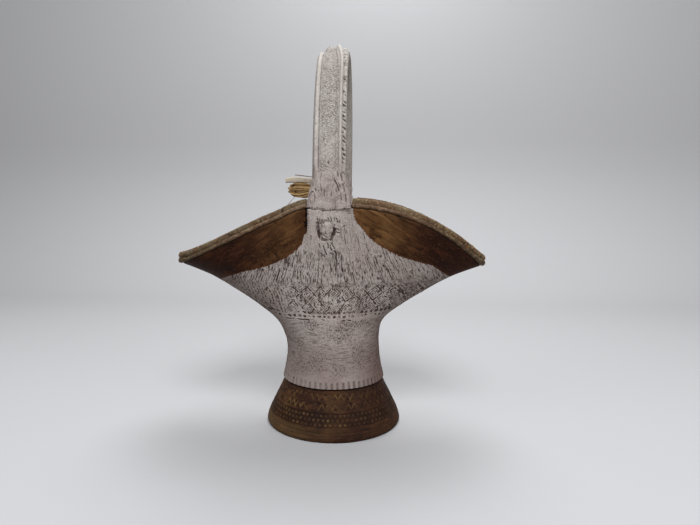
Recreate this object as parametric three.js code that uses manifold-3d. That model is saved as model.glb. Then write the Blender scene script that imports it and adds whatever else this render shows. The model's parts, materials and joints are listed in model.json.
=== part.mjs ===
// A hand-built flower bowl: a flared foot, a waisted body whose rim is folded up into a saddle,
// a fluted strap handle from front to back, and a hank of raffia tied to the handle's back leg.
// Millimetres, +Z up, +X along the bowl's length, origin on the ground under the middle of the bowl.
import * as THREE from 'three';
import Module from 'manifold-3d';

const wasm = await Module();
wasm.setup();

// Driving sizes
const seatGap = 0.3;

const footRadius = 58.5;
const footHeight = 38.3;
const footTopRadius = 42.8;
const footWall = 8.5;
const footRollHeight = 3.4;
const footRollInset = 2.2;

const waistRadius = 40.4;
const waistHeight = 62;
const bodyEdgeRadius = 44.2;
const bodyEdgeBevel = 1.2;
const bodyWall = 8.2;
const bodyFloor = 8;
const floorCorner = 4;

const flareGap = 14;
const bowlHalfLength = 128.6;
const bowlHalfDepth = 55;
const tipHeight = 137.4;
const saddleHeight = 187.7;
const saddlePowerLeft = 1.5;
const saddleDroopLeft = 0.6;
const saddlePowerRight = 2.6;
const saddleDroopRight = 0.15;
const mouthShift = -4;

const stripHeight = 6.8;
const stripOverlap = 0.6;
const beadRadius = 1.7;
const beadInset = 0.8;

const handleTop = 320;
const handleTopWidth = 25.2;
const handleWidth = 26.4;
const handleThickness = 13;
const handleFootWidth = 34;
const frontFootFlare = 26;
const backFootFlare = 12;
const handleReach = 59;
const handleProud = 3.9;
const frontFootX = 1.2;
const backFootX = -0.3;
const handleTopX = 1.4;
const handleSeam = 186.8;
const seatTrim = 3;
const fluteEnd = 206;
const fluteFade = 16;

const rootSpread = 50;
const rootBottom = 128;
const rootThickness = 3.9;
const rootEdge = 1;

const knotHeight = 171.4;
const knotShift = 1.4;
const knotWidth = 9;
const knotLength = 13.5;
const knotDepth = 1.5;
const pocketMargin = 3;
const pocketDepth = 2.5;

const raffiaThickness = 2.1;
const twineThickness = 0.9;
const twineSlack = 0.1;
const wrapTurns = 3;
const wrapRise = 6;
const wrapPitch = 1.5;
const raffiaKnotWidth = 6.4;
const raffiaKnotLength = 12;
const bowLoops = 5;
const bowPitch = 2.6;
const bowReach = 26.5;
const bowShortest = 0.78;
const bowWidth = 9;
const bowBottom = 193.8;
const ribbonReach = 28;
const ribbonWidth = 4.6;
const ribbonThickness = 1;
const ribbonRise = 0.4;
const threadReach = 19;
const threadThickness = 0.8;
const threadRise = 1.6;

// Helpers
const columns = 60;
const quarterTurn = Math.PI / 2;

function smoothStep(low, high, value) {
  const t = THREE.MathUtils.clamp((value - low) / (high - low), 0, 1);
  return t * t * (3 - 2 * t);
}

// Closed surface through rings of equal length, each end closed by a fan about its middle point
function loft(rings, firstMiddle, lastMiddle) {
  const count = rings[0].length;
  const points = rings.flat();
  const faces = [];
  const first = points.push(firstMiddle) - 1;
  const last = points.push(lastMiddle) - 1;
  const end = (rings.length - 1) * count;
  for (let j = 0; j < count; j += 1) {
    const next = (j + 1) % count;
    faces.push(first, next, j);
    faces.push(last, end + j, end + next);
    for (let i = 0; i < rings.length - 1; i += 1) {
      const low = i * count;
      const high = low + count;
      faces.push(low + j, low + next, high + next);
      faces.push(low + j, high + next, high + j);
    }
  }
  const geometry = new THREE.BufferGeometry().setFromPoints(points);
  geometry.setIndex(faces);
  return faceOutwards(geometry);
}

function middle(points) {
  const sum = new THREE.Vector3();
  for (const point of points) sum.add(point);
  return sum.divideScalar(points.length);
}

function signedVolume(geometry) {
  const position = geometry.attributes.position;
  const index = geometry.index;
  const a = new THREE.Vector3();
  const b = new THREE.Vector3();
  const c = new THREE.Vector3();
  let volume = 0;
  for (let i = 0; i < index.count; i += 3) {
    a.fromBufferAttribute(position, index.getX(i));
    b.fromBufferAttribute(position, index.getX(i + 1));
    c.fromBufferAttribute(position, index.getX(i + 2));
    volume += a.dot(b.cross(c)) / 6;
  }
  return volume;
}

function faceOutwards(geometry) {
  if (signedVolume(geometry) < 0) geometry.index.array.reverse();
  return geometry;
}

function toSolid(geometry) {
  const vertProperties = new Float32Array(geometry.attributes.position.array);
  const triVerts = new Uint32Array(geometry.index.array);
  return new wasm.Manifold(new wasm.Mesh({ numProp: 3, vertProperties, triVerts }));
}

function toGeometry(solid) {
  const mesh = solid.getMesh();
  const geometry = new THREE.BufferGeometry();
  geometry.setAttribute('position', new THREE.BufferAttribute(mesh.vertProperties, 3));
  geometry.setIndex(new THREE.BufferAttribute(mesh.triVerts, 1));
  return geometry;
}

function box(sizeX, sizeY, sizeZ, centre) {
  const x = sizeX / 2;
  const y = sizeY / 2;
  const corners = [[-x, -y], [x, -y], [x, y], [-x, y]];
  const levels = [-sizeZ / 2, sizeZ / 2];
  const rings = levels.map(z => corners.map(corner => new THREE.Vector3(...corner, z).add(centre)));
  return loft(rings, middle(rings[0]), middle(rings[1]));
}

// Ball stretched along three axes, given as vectors from its centre to its surface
function ball(centre, right, up, out, roundSteps, polarSteps) {
  const rings = [];
  for (let i = 1; i < polarSteps; i += 1) {
    const polar = i / polarSteps * Math.PI;
    const ring = [];
    for (let j = 0; j < roundSteps; j += 1) {
      const round = j / roundSteps * 2 * Math.PI;
      const point = centre.clone().addScaledVector(out, Math.cos(polar));
      point.addScaledVector(right, Math.sin(polar) * Math.cos(round));
      point.addScaledVector(up, Math.sin(polar) * Math.sin(round));
      ring.push(point);
    }
    rings.push(ring);
  }
  return loft(rings, centre.clone().add(out), centre.clone().sub(out));
}

// Section swept along a path that never runs upright; the section is [across, up] pairs
function sweep(path, section) {
  const vertical = new THREE.Vector3(0, 0, 1);
  const rings = path.map((point, i) => {
    const before = path[Math.max(i - 1, 0)];
    const after = path[Math.min(i + 1, path.length - 1)];
    const along = after.clone().sub(before).normalize();
    const across = along.clone().cross(vertical).normalize();
    const up = across.clone().cross(along);
    return section.map(([a, u]) => point.clone().addScaledVector(across, a).addScaledVector(up, u));
  });
  return loft(rings, path[0], path[path.length - 1]);
}

function roundSection(radius, sides) {
  const section = [];
  for (let i = 0; i < sides; i += 1) {
    const angle = i / sides * 2 * Math.PI;
    section.push([radius * Math.cos(angle), radius * Math.sin(angle)]);
  }
  return section;
}

// Least gap of a wound tube to itself, between points of its path that lie more than half a turn apart
function leastGap(path, stepsPerTurn, thickness) {
  const finer = 4;
  const points = new THREE.CatmullRomCurve3(path).getPoints((path.length - 1) * finer);
  const apart = stepsPerTurn * finer / 2;
  let least = Infinity;
  for (let i = 0; i < points.length; i += 1) {
    for (let j = i + apart; j < points.length; j += 1) {
      least = Math.min(least, points[i].distanceTo(points[j]));
    }
  }
  return least - thickness;
}

// Body: two profiles, one up the side that ends at a tip, one up the front that ends under the handle
const flareStart = waistHeight + flareGap;
const flareRise = tipHeight - flareStart;
const flareRun = bowlHalfLength - waistRadius;
const wallRise = saddleHeight - flareStart;
const wallRun = bowlHalfDepth - waistRadius;

const hollow = 0.55;
const lowerLine = [
  [bodyEdgeRadius, footHeight + seatGap + bodyEdgeBevel],
  [THREE.MathUtils.lerp(bodyEdgeRadius, waistRadius, hollow), (footHeight + waistHeight) / 2],
  [waistRadius, waistHeight],
];

// Points of the flare, as shares of the way out and of the way up
const sideShares = [[0.01, 0], [0.068, 0.228], [0.211, 0.401], [0.438, 0.612], [0.71, 0.836], [1, 1]];
const frontShares = [[0.02, 0], [0.08, 0.15], [0.2, 0.36], [0.42, 0.58], [0.7, 0.8], [1, 1]];

function bodyLine(shares, run, rise) {
  const flare = shares.map(([along, up]) => [waistRadius + run * along, flareStart + rise * up]);
  return new THREE.SplineCurve([...lowerLine, ...flare].map(point => new THREE.Vector2(...point)));
}

const sideLine = bodyLine(sideShares, flareRun, flareRise);
const frontLine = bodyLine(frontShares, wallRun, wallRise);

// Share of the drop from the saddle to the tip; the left side droops more than the right
function saddleDrop(turn) {
  const along = Math.cos(turn);
  const right = smoothStep(-0.3, 0.3, along);
  const power = THREE.MathUtils.lerp(saddlePowerLeft, saddlePowerRight, right);
  const droop = THREE.MathUtils.lerp(saddleDroopLeft, saddleDroopRight, right);
  return Math.abs(along) ** power * (1 + droop * (1 - Math.abs(along)));
}

// Point on the outside of the body: level runs 0 to 1 up the wall, turn is the angle round it
const shiftedFrom = flareStart + 0.4 * flareRise;

function outside(level, turn) {
  const side = sideLine.getPoint(level);
  const front = frontLine.getPoint(level);
  const z = THREE.MathUtils.lerp(front.y, side.y, saddleDrop(turn));
  const shift = mouthShift * smoothStep(waistHeight, shiftedFrom, side.y);
  return new THREE.Vector3(side.x * Math.cos(turn) + shift, front.x * Math.sin(turn), z);
}

const step = 0.004;

function upWall(level, turn) {
  const high = outside(Math.min(level + step, 1), turn);
  return high.sub(outside(Math.max(level - step, 0), turn)).normalize();
}

function outwards(level, turn) {
  const round = outside(level, turn + step).sub(outside(level, turn - step));
  return round.cross(upWall(level, turn)).normalize();
}

function offWall(level, turn, distance) {
  return outside(level, turn).addScaledVector(outwards(level, turn), distance);
}

function ringAt(pointAt) {
  const ring = [];
  for (let j = 0; j < columns; j += 1) ring.push(pointAt(j / columns * 2 * Math.PI));
  return ring;
}

function flatRing(radius, z) {
  return ringAt(turn => new THREE.Vector3(radius * Math.cos(turn), radius * Math.sin(turn), z));
}

const outerLevels = 20;
const innerLevels = 12;
const innerStart = 0.1;
const floorTop = footHeight + seatGap + bodyFloor;

// The wall thickens by grow on every side, which makes the tool that cuts seats for its neighbours
function bodyGeometry(grow) {
  const base = footHeight + seatGap - grow;
  const rings = [flatRing(bodyEdgeRadius - bodyEdgeBevel + grow, base)];
  for (let i = 0; i <= outerLevels; i += 1) {
    const level = i / outerLevels;
    const lift = i === outerLevels ? grow : 0;
    rings.push(ringAt(turn => offWall(level, turn, grow).addScaledVector(upWall(level, turn), lift)));
  }
  for (let i = innerLevels; i >= 0; i -= 1) {
    const level = THREE.MathUtils.lerp(innerStart, 1, i / innerLevels);
    const lift = i === innerLevels ? grow : 0;
    const inset = -bodyWall - grow;
    rings.push(ringAt(turn => offWall(level, turn, inset).addScaledVector(upWall(level, turn), lift)));
  }
  rings.push(flatRing(waistRadius - bodyWall - floorCorner, floorTop + grow));
  return loft(rings, new THREE.Vector3(0, 0, base), new THREE.Vector3(0, 0, floorTop + grow));
}

// Foot: a flared ring, open underneath, with a rolled base edge
const footInside = footRadius - footWall - footRollInset;

function footGeometry() {
  const outer = new THREE.CubicBezierCurve(
    new THREE.Vector2(footTopRadius, footHeight),
    new THREE.Vector2(THREE.MathUtils.lerp(footTopRadius, footRadius, 0.29), footHeight * 0.72),
    new THREE.Vector2(THREE.MathUtils.lerp(footTopRadius, footRadius, 0.89), footHeight * 0.3),
    new THREE.Vector2(footRadius, footRollHeight),
  );
  const roll = new THREE.QuadraticBezierCurve(
    new THREE.Vector2(footRadius, footRollHeight),
    new THREE.Vector2(footRadius, 0),
    new THREE.Vector2(footRadius - footRollInset, 0),
  );
  const inner = new THREE.CubicBezierCurve(
    new THREE.Vector2(footInside, 0),
    new THREE.Vector2(footInside, footHeight * 0.35),
    new THREE.Vector2(THREE.MathUtils.lerp(footTopRadius - footWall, footInside, 0.15), footHeight * 0.6),
    new THREE.Vector2(footTopRadius - footWall, footHeight),
  );
  const profile = [...outer.getPoints(7), ...roll.getPoints(3).slice(1), ...inner.getPoints(4)];
  return closedRings(profile.map(point => flatRing(point.x, point.y)));
}

// Ring-shaped surface: the last ring joins the first again
function closedRings(rings) {
  const count = rings[0].length;
  const faces = [];
  for (let i = 0; i < rings.length; i += 1) {
    const low = i * count;
    const high = (i + 1) % rings.length * count;
    for (let j = 0; j < count; j += 1) {
      const next = (j + 1) % count;
      faces.push(low + j, low + next, high + next);
      faces.push(low + j, high + next, high + j);
    }
  }
  const geometry = new THREE.BufferGeometry().setFromPoints(rings.flat());
  geometry.setIndex(faces);
  return faceOutwards(geometry);
}

// Rim: a smooth bead runs along the outer edge of the wall's end and a stamped strip stands behind it,
// each side of the handle
const handleClear = handleFootWidth / 2 + seatGap;
const halvings = 40;

// Point beside the wall's edge: u runs up the wall, v from its outside to its inside
function rimPoint(turn, [u, v]) {
  return outside(1, turn).addScaledVector(upWall(1, turn), u).addScaledVector(outwards(1, turn), -v);
}

// Point beside the wall's edge in the front half (end -1) or back half (end 1), a given distance along X
function rimPointAtX(end, x, section) {
  let low = 0;
  let high = Math.PI;
  for (let i = 0; i < halvings; i += 1) {
    const between = (low + high) / 2;
    if (rimPoint(end * between, section).x > x) low = between;
    else high = between;
  }
  return rimPoint(end * low, section);
}

// Sweep of a section along one half of the rim, from face to face of the handle's foot. Its rings stand
// in the wall's own columns, as far as the last one that keeps a full ring clear of the foot.
function alongRim(section, side) {
  const front = section.map(pair => rimPointAtX(-1, frontFootX + side * handleClear, pair));
  const back = section.map(pair => rimPointAtX(1, backFootX + side * handleClear, pair));
  const pitch = 2 * Math.PI / columns;
  const covered = (handleClear + Math.abs(mouthShift)) / bowlHalfLength;
  const leastRest = 0.4;
  const steps = Math.floor((quarterTurn - covered) / pitch - leastRest);
  const rings = [front];
  for (let i = -steps; i <= steps; i += 1) {
    const turn = side > 0 ? i * pitch : Math.PI - i * pitch;
    rings.push(section.map(pair => rimPoint(turn, pair)));
  }
  rings.push(back);
  return loft(rings, middle(front), middle(back));
}

function stripSection() {
  const section = [];
  const steps = 8;
  const squareness = 0.6;
  const nearV = beadInset + beadRadius + seatGap;
  const farV = bodyWall + stripOverlap;
  for (let i = 0; i <= steps; i += 1) {
    const angle = i / steps * Math.PI;
    const lean = Math.sign(Math.cos(angle)) * Math.abs(Math.cos(angle)) ** squareness;
    const u = seatGap + (stripHeight - seatGap) * Math.sin(angle) ** squareness;
    section.push([u, THREE.MathUtils.lerp(farV, nearV, 0.5 + 0.5 * lean)]);
  }
  return section;
}

function beadSection() {
  return roundSection(beadRadius, 8).map(([u, v]) => [u + seatGap + beadRadius, v + beadInset]);
}

// Handle: a strap with four rolls on its outer side, swept along an arch from front to back.
// Each roll's centre, radius and end are shares of half the width, its top is a share of the thickness.
const lobes = [
  { centre: -0.717, radius: 0.249, top: 0.53, end: -0.506 },
  { centre: -0.219, radius: 0.332, top: 0.915, end: 0.045 },
  { centre: 0.257, radius: 0.226, top: 1, end: 0.445 },
  { centre: 0.694, radius: 0.264, top: 0.77, end: 0.958 },
];
const lobeSteps = 4;
const lobeStart = 0.15;
const half = handleWidth / 2;

// Rounded edges of the strap's inner side: how far in from the edge, how high above the flat
const strapEdge = [[0, 3], [1.5, 0.8], [4, 0]];

// Height of a roll's surface above the strap's flat inner side
function lobeHeight(lobe, across) {
  const radius = lobe.radius * half;
  const away = Math.min(Math.abs(across - lobe.centre * half), radius * 0.97);
  return lobe.top * handleThickness - radius + Math.sqrt(radius ** 2 - away ** 2);
}

// Height of the plain strap below the flutes: crowned on the leg, squarer where it spreads over the rim
function plainHeight(across, squareness) {
  const edgeMargin = 1.2;
  const share = Math.abs(across) / (half + edgeMargin);
  return handleThickness * (1 - share ** squareness) ** (1 / squareness);
}

// Section of the strap: fluted is 1 where the rolls stand out, spread is 1 at the foot
function strapSection(width, fluted, spread) {
  const squareness = THREE.MathUtils.lerp(2, 6, spread);
  const points = [];
  let from = -half;
  for (const lobe of lobes) {
    const to = lobe.end * half;
    for (let i = 0; i < lobeSteps; i += 1) {
      const across = THREE.MathUtils.lerp(from, to, (i + lobeStart) / lobeSteps);
      const height = THREE.MathUtils.lerp(plainHeight(across, squareness), lobeHeight(lobe, across), fluted);
      points.push([across, height]);
    }
    from = to;
  }
  for (const [inset, height] of strapEdge) points.push([half - inset, height]);
  for (const [inset, height] of [...strapEdge].reverse()) points.push([inset - half, height]);
  return points.map(([across, height]) => [across * width / handleWidth, height - handleThickness / 2]);
}

const archBase = bowlHalfDepth + handleProud - handleThickness / 2;
const archTop = handleTop - handleThickness / 2;
const archLegRise = 70;
const archSide = new THREE.CubicBezierCurve(
  new THREE.Vector2(archBase, handleSeam - seatTrim),
  new THREE.Vector2(handleReach, handleSeam + archLegRise),
  new THREE.Vector2(handleReach * 0.6, archTop),
  new THREE.Vector2(0, archTop),
);
const archSteps = 20;
const archCrowding = 1.35;

// How far the strap has spread towards its foot; side is -1 for the front leg and 1 for the back leg
function strapSpread(side, z) {
  const flare = side < 0 ? frontFootFlare : backFootFlare;
  return 1 - smoothStep(handleSeam, handleSeam + flare, z);
}

function strapWidth(side, z) {
  const leg = THREE.MathUtils.lerp(handleWidth, handleTopWidth, smoothStep(handleSeam, archTop, z));
  return leg + (handleFootWidth - handleWidth) * strapSpread(side, z);
}

function footX(side) {
  return side < 0 ? frontFootX : backFootX;
}

function strapX(side, z) {
  return THREE.MathUtils.lerp(footX(side), handleTopX, smoothStep(handleSeam, archTop, z));
}

// One ring of the strap, on the front leg or the back leg; share runs 0 to 1 from foot to top
function strapRing(side, share) {
  const at = archSide.getPoint(share);
  const along = archSide.getTangent(share);
  const fluted = smoothStep(fluteEnd, fluteEnd + fluteFade, at.y);
  const section = strapSection(strapWidth(side, at.y), fluted, strapSpread(side, at.y));
  return section.map(([across, height]) => new THREE.Vector3(
    across + strapX(side, at.y),
    side * (at.x + along.y * height),
    at.y - along.x * height,
  ));
}

// Wide box that takes away what lies between two heights
function slab(low, high) {
  const centre = new THREE.Vector3(0, 0, (low + high) / 2);
  return toSolid(box(handleFootWidth * 2, bowlHalfDepth * 4, high - low, centre));
}

// The rings stand closer together towards the feet, where the strap spreads
function strapGeometry() {
  const rings = [];
  for (let i = -archSteps; i <= archSteps; i += 1) {
    const share = 1 - Math.abs(i) / archSteps;
    rings.push(strapRing(i < 0 ? -1 : 1, share ** archCrowding));
  }
  const strap = toSolid(loft(rings, middle(rings[0]), middle(rings[archSteps * 2])));
  const below = slab(footHeight, handleSeam);
  return toGeometry(strap.subtract(below).subtract(toSolid(bodyGeometry(seatGap))));
}

// Level of the body's front line that stands at a height
function levelAt(z) {
  let low = 0;
  let high = 1;
  for (let i = 0; i < halvings; i += 1) {
    const between = (low + high) / 2;
    if (frontLine.getPoint(between).y < z) low = between;
    else high = between;
  }
  return (low + high) / 2;
}

// Root: a tongue of clay on the outside of the wall that spreads out below the handle
const rootRows = 10;
const rootSteps = 10;
const rootFlare = 2.2;
const roundedFrom = 0.7;
const rootSideFall = 0.35;

function rootRing(side, down) {
  const level = THREE.MathUtils.lerp(1, levelAt(rootBottom), down);
  const reach = THREE.MathUtils.lerp(handleFootWidth, rootSpread, down ** rootFlare) / 2;
  const roundedEnd = Math.sqrt(1 - (Math.max(0, down - roundedFrom) / (1.01 - roundedFrom)) ** 2);
  const thick = THREE.MathUtils.lerp(rootThickness, rootEdge, smoothStep(0.3, 1, down));
  const outer = [];
  const inner = [];
  for (let j = 0; j <= rootSteps; j += 1) {
    const across = 2 * j / rootSteps - 1;
    const x = footX(side) + reach * roundedEnd * across;
    const round = Math.asin((x - mouthShift) / sideLine.getPoint(level).x);
    const turn = side * (quarterTurn - round);
    outer.push(offWall(level, turn, seatGap + Math.max(rootEdge, thick * (1 - rootSideFall * across ** 6))));
    inner.push(offWall(level, turn, seatGap));
  }
  return [...outer, ...inner.reverse()];
}

function rootGeometry(side) {
  const rings = [];
  for (let i = 0; i <= rootRows; i += 1) rings.push(rootRing(side, i / rootRows));
  const tongue = toSolid(loft(rings, middle(rings[0]), middle(rings[rootRows])));
  const above = slab(handleSeam - seatGap, handleTop);
  const pocket = rootBall(side, knotWidth + 2 * pocketMargin, knotLength + 2 * pocketMargin, pocketDepth, 0);
  return toGeometry(tongue.subtract(above).subtract(toSolid(pocket)));
}

// Flattened ball at the knot's height, its middle raised from the root's surface
function rootBall(side, width, length, depth, raised) {
  const level = levelAt(knotHeight);
  const x = footX(side) + side * knotShift;
  const turn = side * (quarterTurn - Math.asin((x - mouthShift) / sideLine.getPoint(level).x));
  const out = outwards(level, turn);
  const up = upWall(level, turn).multiplyScalar(length / 2);
  const right = out.clone().cross(up).setLength(width / 2);
  const centre = offWall(level, turn, seatGap + rootThickness + raised);
  return ball(centre, right, up, out.multiplyScalar(depth), 16, 8);
}

function rootKnotGeometry(side) {
  const raised = seatGap + knotDepth - pocketDepth;
  return rootBall(side, knotWidth, knotLength, knotDepth, raised);
}

// Raffia on the back leg: turns round it, a knot beside it, and a hank that lies out to the left
const loopSteps = 24;
const raffiaRadius = raffiaThickness / 2;
const wrapBottom = bowBottom + wrapRise;

function legMiddle(z) {
  let low = 0;
  let high = 1;
  for (let i = 0; i < halvings; i += 1) {
    const between = (low + high) / 2;
    if (archSide.getPoint(between).y < z) low = between;
    else high = between;
  }
  return new THREE.Vector3(strapX(1, z), archSide.getPoint(low).x, z);
}

// Cosine or sine drawn out so that a circle turns into a rounded box
function boxed(value) {
  return Math.sign(value) * Math.sqrt(Math.abs(value));
}

function wrapPath() {
  const path = [];
  const off = seatGap + twineSlack + twineThickness / 2;
  for (let i = 0; i <= wrapTurns * loopSteps; i += 1) {
    const angle = i / loopSteps * 2 * Math.PI;
    const z = wrapBottom + wrapPitch * i / loopSteps;
    const x = (strapWidth(1, z) / 2 + off) * boxed(Math.cos(angle));
    const y = (handleThickness / 2 + off) * boxed(Math.sin(angle));
    path.push(legMiddle(z).add(new THREE.Vector3(x, y, 0)));
  }
  return path;
}

const raffiaMiddle = legMiddle(bowBottom + raffiaRadius + bowPitch * bowLoops / 2);
const wrapSide = strapWidth(1, wrapBottom) / 2 + seatGap + twineSlack + twineThickness;
const raffiaKnotX = raffiaMiddle.x - wrapSide - seatGap - raffiaKnotWidth / 2;
const bowStart = raffiaKnotX - raffiaKnotWidth / 2 - seatGap - raffiaRadius;

function raffiaKnotGeometry() {
  const centre = new THREE.Vector3(raffiaKnotX, raffiaMiddle.y, raffiaMiddle.z);
  const right = new THREE.Vector3(raffiaKnotWidth / 2, 0, 0);
  const up = new THREE.Vector3(0, 0, raffiaKnotLength / 2);
  const out = new THREE.Vector3(0, -bowWidth / 2, 0);
  return ball(centre, right, up, out, 12, 8);
}

function bowPath() {
  const path = [];
  const turns = bowLoops * loopSteps;
  for (let i = 0; i <= turns; i += 1) {
    const angle = i / loopSteps * 2 * Math.PI;
    const long = THREE.MathUtils.lerp(bowShortest, 1, Math.sin(i / turns * Math.PI));
    const reach = bowReach * long - raffiaThickness;
    const x = bowStart - reach * (1 - Math.cos(angle)) / 2;
    const y = raffiaMiddle.y - (bowWidth / 2 - raffiaRadius) * Math.sin(angle);
    path.push(new THREE.Vector3(x, y, bowBottom + raffiaRadius + bowPitch * i / loopSteps));
  }
  return path;
}

const bowTop = bowBottom + raffiaThickness + bowPitch * bowLoops;
const strandSteps = 10;

function strandPath(reach, z, rise) {
  const path = [];
  for (let i = 0; i <= strandSteps; i += 1) {
    const share = i / strandSteps;
    path.push(new THREE.Vector3(bowStart - reach * share, raffiaMiddle.y, z + rise * share * share));
  }
  return path;
}

function ribbonSection() {
  const y = ribbonThickness / 2;
  const z = ribbonWidth / 2;
  return [[-y, -z], [y, -z], [y, z], [-y, z]];
}

const ribbonMiddle = bowTop + seatGap + ribbonWidth / 2;
const threadMiddle = ribbonMiddle + ribbonWidth / 2 + seatGap + threadThickness / 2;

const wrap = wrapPath();
const bow = bowPath();
console.log(`raffia_wrap least gap to itself ${leastGap(wrap, loopSteps, twineThickness).toFixed(2)} mm`);
console.log(`raffia_bow least gap to itself ${leastGap(bow, loopSteps, raffiaThickness).toFixed(2)} mm`);

// Materials
const slip = new THREE.MeshStandardMaterial({ color: 0xc8c1be, roughness: 0.95, metalness: 0 });
const brownClay = new THREE.MeshStandardMaterial({ color: 0x6a5236, roughness: 0.6, metalness: 0 });
const rimClay = new THREE.MeshStandardMaterial({ color: 0x7c6c4a, roughness: 0.75, metalness: 0 });
const raffia = new THREE.MeshStandardMaterial({ color: 0xb08d58, roughness: 0.85, metalness: 0 });
const paleRaffia = new THREE.MeshStandardMaterial({ color: 0xd8cfbd, roughness: 0.8, metalness: 0 });

const group = new THREE.Group();

function place(name, geometry, material) {
  geometry.computeVertexNormals();
  const mesh = new THREE.Mesh(geometry, material);
  mesh.name = name;
  group.add(mesh);
}

place('foot', footGeometry(), brownClay);
place('body', bodyGeometry(0), slip);
for (const [side, label] of [[-1, 'left'], [1, 'right']]) {
  place(`rim_strip_${label}`, alongRim(stripSection(), side), rimClay);
  place(`rim_bead_${label}`, alongRim(beadSection(), side), rimClay);
}
place('handle_strap', strapGeometry(), slip);
for (const [side, label] of [[-1, 'front'], [1, 'back']]) {
  place(`handle_root_${label}`, rootGeometry(side), slip);
  place(`root_knot_${label}`, rootKnotGeometry(side), slip);
}
place('raffia_wrap', sweep(wrap, roundSection(twineThickness / 2, 6)), raffia);
place('raffia_knot', raffiaKnotGeometry(), raffia);
place('raffia_bow', sweep(bow, roundSection(raffiaRadius, 6)), raffia);
const ribbon = strandPath(ribbonReach, ribbonMiddle, ribbonRise);
const thread = strandPath(threadReach, threadMiddle, threadRise);
place('raffia_ribbon', sweep(ribbon, ribbonSection()), paleRaffia);
place('raffia_thread', sweep(thread, roundSection(threadThickness / 2, 6)), raffia);

// The sizes above stand round the foot's centre; the origin belongs under the middle of the whole bowl
const middleOfAll = new THREE.Box3().setFromObject(group).getCenter(new THREE.Vector3());
group.position.set(-middleOfAll.x, -middleOfAll.y, 0);

export default group;
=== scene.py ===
import json
import math
import random

import bmesh
import bpy
import numpy as np
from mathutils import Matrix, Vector, noise

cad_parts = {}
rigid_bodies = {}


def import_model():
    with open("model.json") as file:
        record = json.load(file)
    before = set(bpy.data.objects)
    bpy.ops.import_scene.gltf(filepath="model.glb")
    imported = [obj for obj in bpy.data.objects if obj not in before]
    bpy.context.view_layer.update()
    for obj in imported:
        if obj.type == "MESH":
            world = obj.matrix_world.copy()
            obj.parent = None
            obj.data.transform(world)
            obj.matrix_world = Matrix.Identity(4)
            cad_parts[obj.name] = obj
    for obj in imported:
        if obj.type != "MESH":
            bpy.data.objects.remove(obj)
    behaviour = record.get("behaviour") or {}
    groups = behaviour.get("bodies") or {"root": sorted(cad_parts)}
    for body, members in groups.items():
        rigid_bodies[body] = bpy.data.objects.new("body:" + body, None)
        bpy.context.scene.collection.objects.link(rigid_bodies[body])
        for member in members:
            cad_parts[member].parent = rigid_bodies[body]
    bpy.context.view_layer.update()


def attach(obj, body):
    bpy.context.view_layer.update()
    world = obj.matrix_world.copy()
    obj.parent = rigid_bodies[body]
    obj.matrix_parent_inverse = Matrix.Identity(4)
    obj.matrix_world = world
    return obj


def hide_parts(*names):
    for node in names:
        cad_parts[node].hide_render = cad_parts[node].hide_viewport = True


# A flower bowl of slipped brown clay with a strap handle, and raffia tied to it. Shapes are in mm.
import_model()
mm = 0.001

# The foot's centre stands a little off the middle of the whole bowl
footCentre = np.array([4.0, -0.66, 0.0])


# Camera, from the photograph's perspective
view = {
    "place": (0.0472, -0.4948, 0.1978),
    "tilt": -6.79,
    "turn": 5.0,
    "focal": 575.0,
    "imageWidth": 700.0,
    "shift": 16.5,
}
cameraData = bpy.data.cameras.new("camera")
cameraData.sensor_width = 36.0
cameraData.lens = view["focal"] / view["imageWidth"] * cameraData.sensor_width
cameraData.shift_x = view["shift"] / view["imageWidth"]
cameraData.clip_start = 0.01
cameraData.dof.use_dof = False
camera = bpy.data.objects.new("camera", cameraData)
camera.location = view["place"]
camera.rotation_euler = (math.radians(90 + view["tilt"]), 0, math.radians(view["turn"]))
bpy.context.collection.objects.link(camera)
scene = bpy.context.scene
scene.camera = camera
scene.view_settings.view_transform = "Standard"


# Small tools for meshes
def smoothStep(low, high, value):
    share = np.clip((value - low) / (high - low), 0, 1)
    return share * share * (3 - 2 * share)


# Rises from 0 to 1 between the first two values, and falls back to 0 between the last two
def window(low, lowEnd, high, highEnd, value):
    return smoothStep(low, lowEnd, value) * (1 - smoothStep(high, highEnd, value))


def lerp(low, high, share):
    return low + (high - low) * share


def unit(vectors):
    return vectors / np.linalg.norm(vectors, axis=-1, keepdims=True)


# Smooth noise from about -1 to 1 at each point; points and size in mm
def waves(points, size, seed=0.0):
    offset = Vector((seed, 0.37 * seed, 0.71 * seed))
    return np.array([noise.noise(Vector(point) / size + offset) for point in points])


# Smooth curve through all the points, at shares from 0 to 1 of its spans
def catmullRom(points, share):
    points = np.array(points, float)
    last = len(points) - 1
    at = np.clip(share, 0, 1) * last
    low = np.minimum(np.floor(at), last - 1).astype(int)
    t = (at - low)[..., None]
    before = points[np.maximum(low - 1, 0)]
    start = points[low]
    end = points[low + 1]
    after = points[np.minimum(low + 2, last)]
    leave = (end - before) / 2
    arrive = (after - start) / 2
    cubic = (2 * start - 2 * end + leave + arrive) * t**3
    square = (3 * end - 3 * start - 2 * leave - arrive) * t**2
    return cubic + square + leave * t + start


# Corners nearer than this, in metres, become one where a ring closes
mergeDistance = 0.00001


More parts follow.
